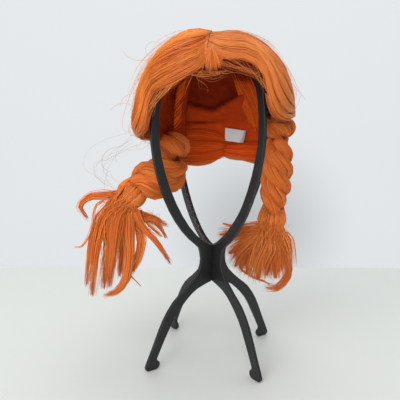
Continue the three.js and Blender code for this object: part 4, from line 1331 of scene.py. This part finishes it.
def band_right(rng):
    """A tape under a soft ribbon of combed hair."""
    count = RIBBON.fibres
    share = spaced(rng, count)[:, None]
    along = np.linspace(*RIBBON.along, RIBBON.points)[None, :] + rng.normal(0, RIBBON.ends, (count, 1))
    puff = RIBBON.puff * np.sin(math.pi * share) + column(rng, RIBBON.rough, count)
    u = mix(*RIBBON.wide, share) + RIBBON.wave * np.sin(4 * along + 6 * share)
    fibres = band_right_point(u, along, BAND_THICKNESS * TAPE.thickness + puff)
    thick = varied(rng, RIBBON.radius, count)
    chunks = [tape(band_right_point), tubes(fibres, thick, rng.uniform(*RIBBON.tint, count), tip=0.4)]
    add_piece("weft_band_right_combed", chunks, WEFT_CLOTH, "weft_cloth", "weft_band_right")


def label_tag():
    """The bare white tag, whose free end curls off the cap."""
    def place(u, v, inward):
        azimuth = TAG.middle + mix(1, -1, u) * TAG.half_angle
        height = mix(TAG.low, TAG.high, v) + TAG.slope * (u - 0.5)
        crease = mix(TAG.crease_low, TAG.crease_high, v)
        lifted = TAG.curl * np.maximum(0, u - crease) + TAG.buckle * np.sin(math.pi * v) * np.sin(4 * u)
        return cap_point(azimuth, height, -INLAY - TAG.off_cap - inward - lifted)

    cloth = bmesh_chunk(closed_shell(
        TAG.columns, TAG.rows, lambda u, v: place(u, v, 0.0), lambda u, v: place(u, v, TAG.thickness),
    ))
    # Painted shadow along the crease and painted shade on the curled flap beyond it
    past = cloth["across"] - mix(TAG.crease_low, TAG.crease_high, cloth["along"])
    crease = TAG_PAINTED_SHADE.crease * np.exp(-(past / TAG_PAINTED_SHADE.crease_wide) ** 2)
    cloth["tint"] = mix(TAG_PAINTED_SHADE.plain, TAG_PAINTED_SHADE.curled, past > 0) - crease
    tag = add_piece("label_tag_cloth", [cloth], TAG_CLOTH, "tag_cloth", "label_tag")


# Plaits, ties and tassels

def plait_taper(u, end):
    """The share of a size that is left along a plait, narrower at its root and by the tie."""
    taper = mix(1, end, smooth(u, PLAIT_TAPER.start, PLAIT_TAPER.stop))
    return taper * mix(PLAIT_TAPER.root, 1, smooth(u, 0, PLAIT_TAPER.root_reach))


def strand_line(plait, number, line):
    """The centre line of one strand as it winds round the others."""
    u = np.linspace(0, 1, len(line))
    late = np.maximum(0, (u - 1 + STRAND.straight_end) / STRAND.straight_end)
    eased = u - STRAND.straight_end * late ** 2 / 2
    angle = 2 * math.pi * (plait.phase + plait.turns * eased + number / STRAND_COUNT)
    _, across, depth = frames_on(line)
    aside = ring_on(depth, across, angle)
    return line + aside * (plait_taper(u, plait.end_spread) * plait.spread)[:, None]


def plait_strand(side, number, rng):
    """One strand: a body of hair with fibres that follow it and twist slowly round it."""
    plait = PLAITS[side]
    middle = even_line(plait.route, STRAND.steps)
    centre = strand_line(plait, number, middle)
    u = np.linspace(0, 1, STRAND.steps)
    _, across, depth = frames_on(centre)
    half = plait.strand * plait_taper(u, plait.end_scale)
    count = STRAND.fibres
    turn = 2 * math.pi * spaced(rng, count)[:, None]
    lift = column(rng, STRAND.lift, count)
    drift = SIGN[side] * STRAND.twist * u
    drift = drift + STRAND.waver * np.sin(rng.random((count, 1)) * STRAND.any_phase + 5 * u)
    ridges = STRAND.ridge * np.sin(turn * 6 + 3 * u)
    ripple = STRAND.ripple * np.sin(7 * u + rng.random((count, 1)) * STRAND.any_phase)
    lines = centre + ring_on(across, depth, turn + drift) * (half * (lift + ridges + ripple))[..., None]
    lines[:, 0] = mix(lines[:, 0], np.array(GATHER[side].at), STRAND.to_gather)
    # Painted light and shade by how far out a fibre lies and on the ridges, and random tone
    tint = STRAND_TINT.middle + STRAND_TINT.lift * (lift[:, 0] - sum(STRAND.lift) / 2)
    tint = tint + STRAND_TINT.ridge * ridges[:, 0] + rng.normal(0, STRAND_TINT.noise, count)
    dark = rng.random(count) < STRAND_TINT.dark_share
    tint = np.where(dark, STRAND_TINT.dark, np.clip(tint, 0, 1))
    outside = half + plait.spread * plait_taper(u, plait.end_spread)
    # Painted shade in the creases between the plait's strands
    deep = 1 - smooth(np.linalg.norm(lines - middle, axis=2) / outside, *PAINTED_CREASE_SHADE.reach)
    tint = tint[:, None] - PAINTED_CREASE_SHADE.strand * deep
    radius = varied(rng, STRAND.radius, count, STRAND.thickest)
    core = half.mean() * STRAND.core
    core = streaked(centre, core, STRAND_TINT.core, plait.end_scale, STRAND.core, STRAND.sides)
    name = f"braid_{side}_strand_{number + 1}"
    add_piece(name + "_fibres", [core, tubes(lines, radius, tint, tip=0.8)], PLAIT_HAIR, "hair", name)


def plait_end(side):
    """The end of a plait, its heading and cross directions there, and the radius inside its tie."""
    plait = PLAITS[side]
    line = even_line(plait.route, ROUTE_SAMPLES)
    bore = plait.spread * plait.end_spread + plait.strand * plait.end_scale + TIE.spare
    return line[-1], *(f[-1] for f in frames_on(line)), bore


def tie(side, rng):
    """A lock of hair wound slantwise round the end of the plait."""
    end, heading, across, depth, bore = plait_end(side)
    turn = np.linspace(0, 2 * math.pi, TIE.points)[None, :]
    count = TIE.fibres
    place = spaced(rng, count)[:, None]
    coil = place * TIE.coils % 1
    swell = np.sqrt(np.clip(1 - (2 * coil - 1) ** 2, 0, 1))
    ends = np.sqrt(np.sin(math.pi * mix(*TIE.ends, place)))
    radius = bore - TIE.sunk + TIE.wall * mix(*TIE.swell, swell) * ends
    radius = radius + around_zero(rng, TIE.rough, count)
    slope = TIE.lean * np.cos(turn + TIE_TURN[side] + around_zero(rng, TIE.uneven, count))
    back = mix(-TIE.length, TIE.last, place) + slope
    lines = end + ring_on(across, depth, turn) * radius[..., None] + heading * back[..., None]
    # Painted light on the swell of each coil, and random tone
    tint = TIE_TINT.low + TIE_TINT.swell * swell[:, 0] + rng.normal(0, TIE_TINT.noise, count)
    wound = tubes(lines, TIE.radius, np.clip(tint, 0, 1), tip=0.9, root=0.9)
    bm = bmesh.new()
    aim = Vector(heading).to_track_quat("Z", "Y").to_matrix().to_4x4()
    for at in np.linspace(TIE.inset - TIE.length, -TIE.inset, TIE.rings):
        spot = Matrix.Translation(Vector(end + heading * at)) @ aim
        bmesh.ops.create_circle(bm, cap_ends=False, radius=bore, segments=TIE.sides, matrix=spot)
    bmesh.ops.bridge_loops(bm, edges=bm.edges)
    bmesh.ops.holes_fill(bm, edges=[e for e in bm.edges if e.is_boundary])
    bmesh.ops.recalc_face_normals(bm, faces=bm.faces)
    chunks = [bmesh_chunk(bm, TIE_TINT.core), wound]
    add_piece("tie_" + side + "_wound", chunks, TIE_HAIR, "hair_tie", "tie_" + side)


def lock_fibres(side, width, path, rng):
    """One lock of a tassel: fibres that leave the plait inside or over the tie and follow the lock's path."""
    style = TASSEL_STYLE[side]
    end, heading, _, _, bore = plait_end(side)
    count = int(style.fibres * width / TASSEL.count_width)
    path = np.array(path, float)
    disc = rng.normal(size=(count, 2)) * style.packed
    disc = disc / np.maximum(1, np.linalg.norm(disc, axis=1, keepdims=True))
    disc = disc * np.where(rng.random((count, 1)) < style.stray, TASSEL.stray, 1.0)
    tangent, aside, deep = frames_on(path)
    section = aside * disc[:, :1, None] + deep * disc[:, 1:, None] * style.flat
    narrow, grow = (np.linspace(*ends, len(path))[None, :, None] for ends in (
        (1.0, style.tip), (TASSEL.fray_root, 1.0),
    ))
    fray = rng.normal(size=(count, 1, 3)) * style.fray * grow
    along = path + section * narrow * width / 2 + fray
    along[:, -1] += tangent[-1] * column(rng, TASSEL.stagger, count) * style.stagger
    toward = path[0] - end + rng.normal(size=(count, 3)) * TASSEL.scatter
    ring = unit(toward - heading * (toward @ heading)[:, None])
    over = (rng.random(count) < style.over)[:, None]
    inside = bore * np.sqrt(column(rng, TASSEL.inside, count)) * TASSEL.inside_most
    before = end - heading * column(rng, PAST_TIE.before, count)
    before = before + ring * np.where(over, bore * PAST_TIE.under, inside)
    at_tie = end - heading * PAST_TIE.at + ring * np.where(over, bore + TIE.wall + PAST_TIE.over, inside)
    leaving = end + heading * PAST_TIE.leave + ring * np.where(over, bore + PAST_TIE.leave_over, inside)
    controls = np.concatenate((before[:, None], at_tie[:, None], leaving[:, None], along), axis=1)
    lines = spline_lines(controls, TASSEL.points)
    # Painted shade toward the lock's middle, and random tone by lock and fibre
    tint = TASSEL_TINT.low + TASSEL_TINT.outer * np.linalg.norm(disc, axis=1)
    tint = tint + rng.normal(0, TASSEL_TINT.lock_noise) + rng.normal(0, TASSEL_TINT.noise, count)
    thick = np.arange(count) % TASSEL.thick_every == 0
    radius = np.where(thick, TASSEL.thick, varied(rng, 1.0, count)) * TASSEL.radius
    body = spline_lines(np.vstack((end + heading * TASSEL_CORE.start, path))[None], TASSEL.points)[0]
    core = streaked(
        body, style.core * width / 2, rng.uniform(*TASSEL_CORE.tint), style.tip * TASSEL_CORE.tip,
        TASSEL_CORE.root, TASSEL_CORE.sides,
    )
    return [core, tubes(lines, radius, np.clip(tint, 0, 1), tip=0.2)]


def wisp(wide, count, path, rng):
    """A thin lock along a path, spread at the root and gathered at the tip."""
    path = np.array(path, float)
    offset = rng.normal(size=(count, 1, 3)) * wide * WISP.spread
    narrow = np.linspace(*WISP.narrow, len(path))[None, :, None]
    fray = rng.normal(size=(count, len(path), 3)) * WISP.fray
    lines = spline_lines(path + offset * narrow + fray, WISP.points)
    radius = varied(rng, WISP.radius, count, WISP.thickest)
    return tubes(lines, radius, rng.uniform(*WISP.tint, count), tip=0.4)


def tassel(side, rng):
    """The loose end of a plait: locks of fibres that leave the tie and hang along their paths."""
    chunks = []
    for width, path in TASSELS[side]:
        chunks += lock_fibres(side, width, path, rng)
    chunks += [wisp(*row, rng) for row in WISPS[side]]
    stray = FRIZZ[side]
    start = np.array(stray.at) + rng.normal(size=(stray.count, 3)) * stray.spread
    chunks.append(curled(start, rng.normal(0, FRIZZ_DRIFT, start.shape), stray.radius, rng))
    add_piece("tassel_" + side + "_fibres", chunks, PLAIT_HAIR, "hair", "tassel_" + side)


# Stage, light and camera

def stage_sheet(name, corners, material):
    bm = bmesh.new()
    bm.faces.new([bm.verts.new(to_row(corner)) for corner in corners])
    mesh = bpy.data.meshes.new(name)
    bm.to_mesh(mesh)
    bm.free()
    place_object(name, mesh, material)


def backdrop_material():
    """A softly lit wall with a painted faint shadow of the wig on it."""
    material, tree, shader = new_material(
        "backdrop", Roughness=0.9, Base_Color=(0.12, 0.12, 0.12, 1.0), Emission_Color=(0.94, 0.98, 1.0, 1.0),
    )
    centre = tuple(to_row(BACKDROP_PAINTED_SHADOW.at))
    away = add(tree, "VectorMath", {0: object_place(tree), 1: centre}, operation="DISTANCE")["Value"]
    # Painted shadow: the glow is dimmer near the point behind the stand
    glow = add(tree, "MapRange", {
        "Value": away, "From Max": BACKDROP_PAINTED_SHADOW.radius * MM,
        "To Min": BACKDROP_GLOW * BACKDROP_PAINTED_SHADOW.least, "To Max": BACKDROP_GLOW,
    }, interpolation_type="SMOOTHSTEP")
    tree.links.new(glow[0], shader["Emission Strength"])
    return material


def make_stage():
    wide, front, left, right = (FLOOR[key] for key in ("half_width", "front", "back_left", "back_right"))
    corners = ((-wide, front, 0), (wide, front, 0), (wide, right, 0), (-wide, left, 0))
    stage_sheet("floor", corners, new_material("floor", Roughness=0.5, Base_Color=FLOOR_COLOUR)[0])
    wide, y, low, high = (BACKDROP[key] for key in ("half_width", "y", "low", "high"))
    corners = ((-wide, y, low), (wide, y, low), (wide, y, high), (-wide, y, high))
    stage_sheet("backdrop", corners, backdrop_material())


def make_lights():
    for row in LIGHTS:
        lamp = bpy.data.lights.new(row.name, "AREA")
        lamp.size = row.size
        lamp.energy = row.power
        light = bpy.data.objects.new(row.name, lamp)
        light.location = to_row(row.at)
        aim = Vector(to_row(row.aim)) - light.location
        light.rotation_euler = aim.to_track_quat("-Z", "Y").to_euler()
        bpy.context.scene.collection.objects.link(light)
    world = bpy.data.worlds.new("studio")
    world.use_nodes = True
    sky = world.node_tree.nodes["Background"].inputs
    sky["Color"].default_value = SKY.colour
    sky["Strength"].default_value = SKY.strength
    bpy.context.scene.world = world
    bpy.context.scene.view_settings.view_transform = "Standard"


def make_camera():
    pitch, yaw, roll = (math.radians(CAMERA[key]) for key in ("pitch", "yaw", "roll"))
    right = Vector((math.cos(yaw), math.sin(yaw), 0))
    ahead = Vector((-math.sin(yaw) * math.cos(pitch), math.cos(yaw) * math.cos(pitch), -math.sin(pitch)))
    up = right.cross(ahead)
    x_axis = right * math.cos(roll) + up * math.sin(roll)
    y_axis = up * math.cos(roll) - right * math.sin(roll)
    lens = bpy.data.cameras.new("camera")
    lens.lens = CAMERA.lens
    lens.sensor_width = CAMERA.sensor
    camera = bpy.data.objects.new("camera", lens)
    turn = Matrix((x_axis, y_axis, -ahead)).transposed().to_4x4()
    camera.matrix_world = Matrix.Translation(to_row((0, -CAMERA.back, CAMERA.height))) @ turn
    bpy.context.scene.collection.objects.link(camera)
    bpy.context.scene.camera = camera


make_camera()
make_stage()
make_lights()
stand_frame("stand_frame_a")
stand_frame("stand_frame_b")
wig_cap()
band_left(seeded("band_left"))
band_right(seeded("band_right"))
label_tag()
front_tuft(seeded("tuft"))
for order, side in enumerate(SIDES):
    hair_side(side, seeded("hair", order))
    for number in range(STRAND_COUNT):
        plait_strand(side, number, seeded("strands", STRAND_COUNT * order + number))
    tie(side, seeded("ties", order))
    tassel(side, seeded("tassels", order))
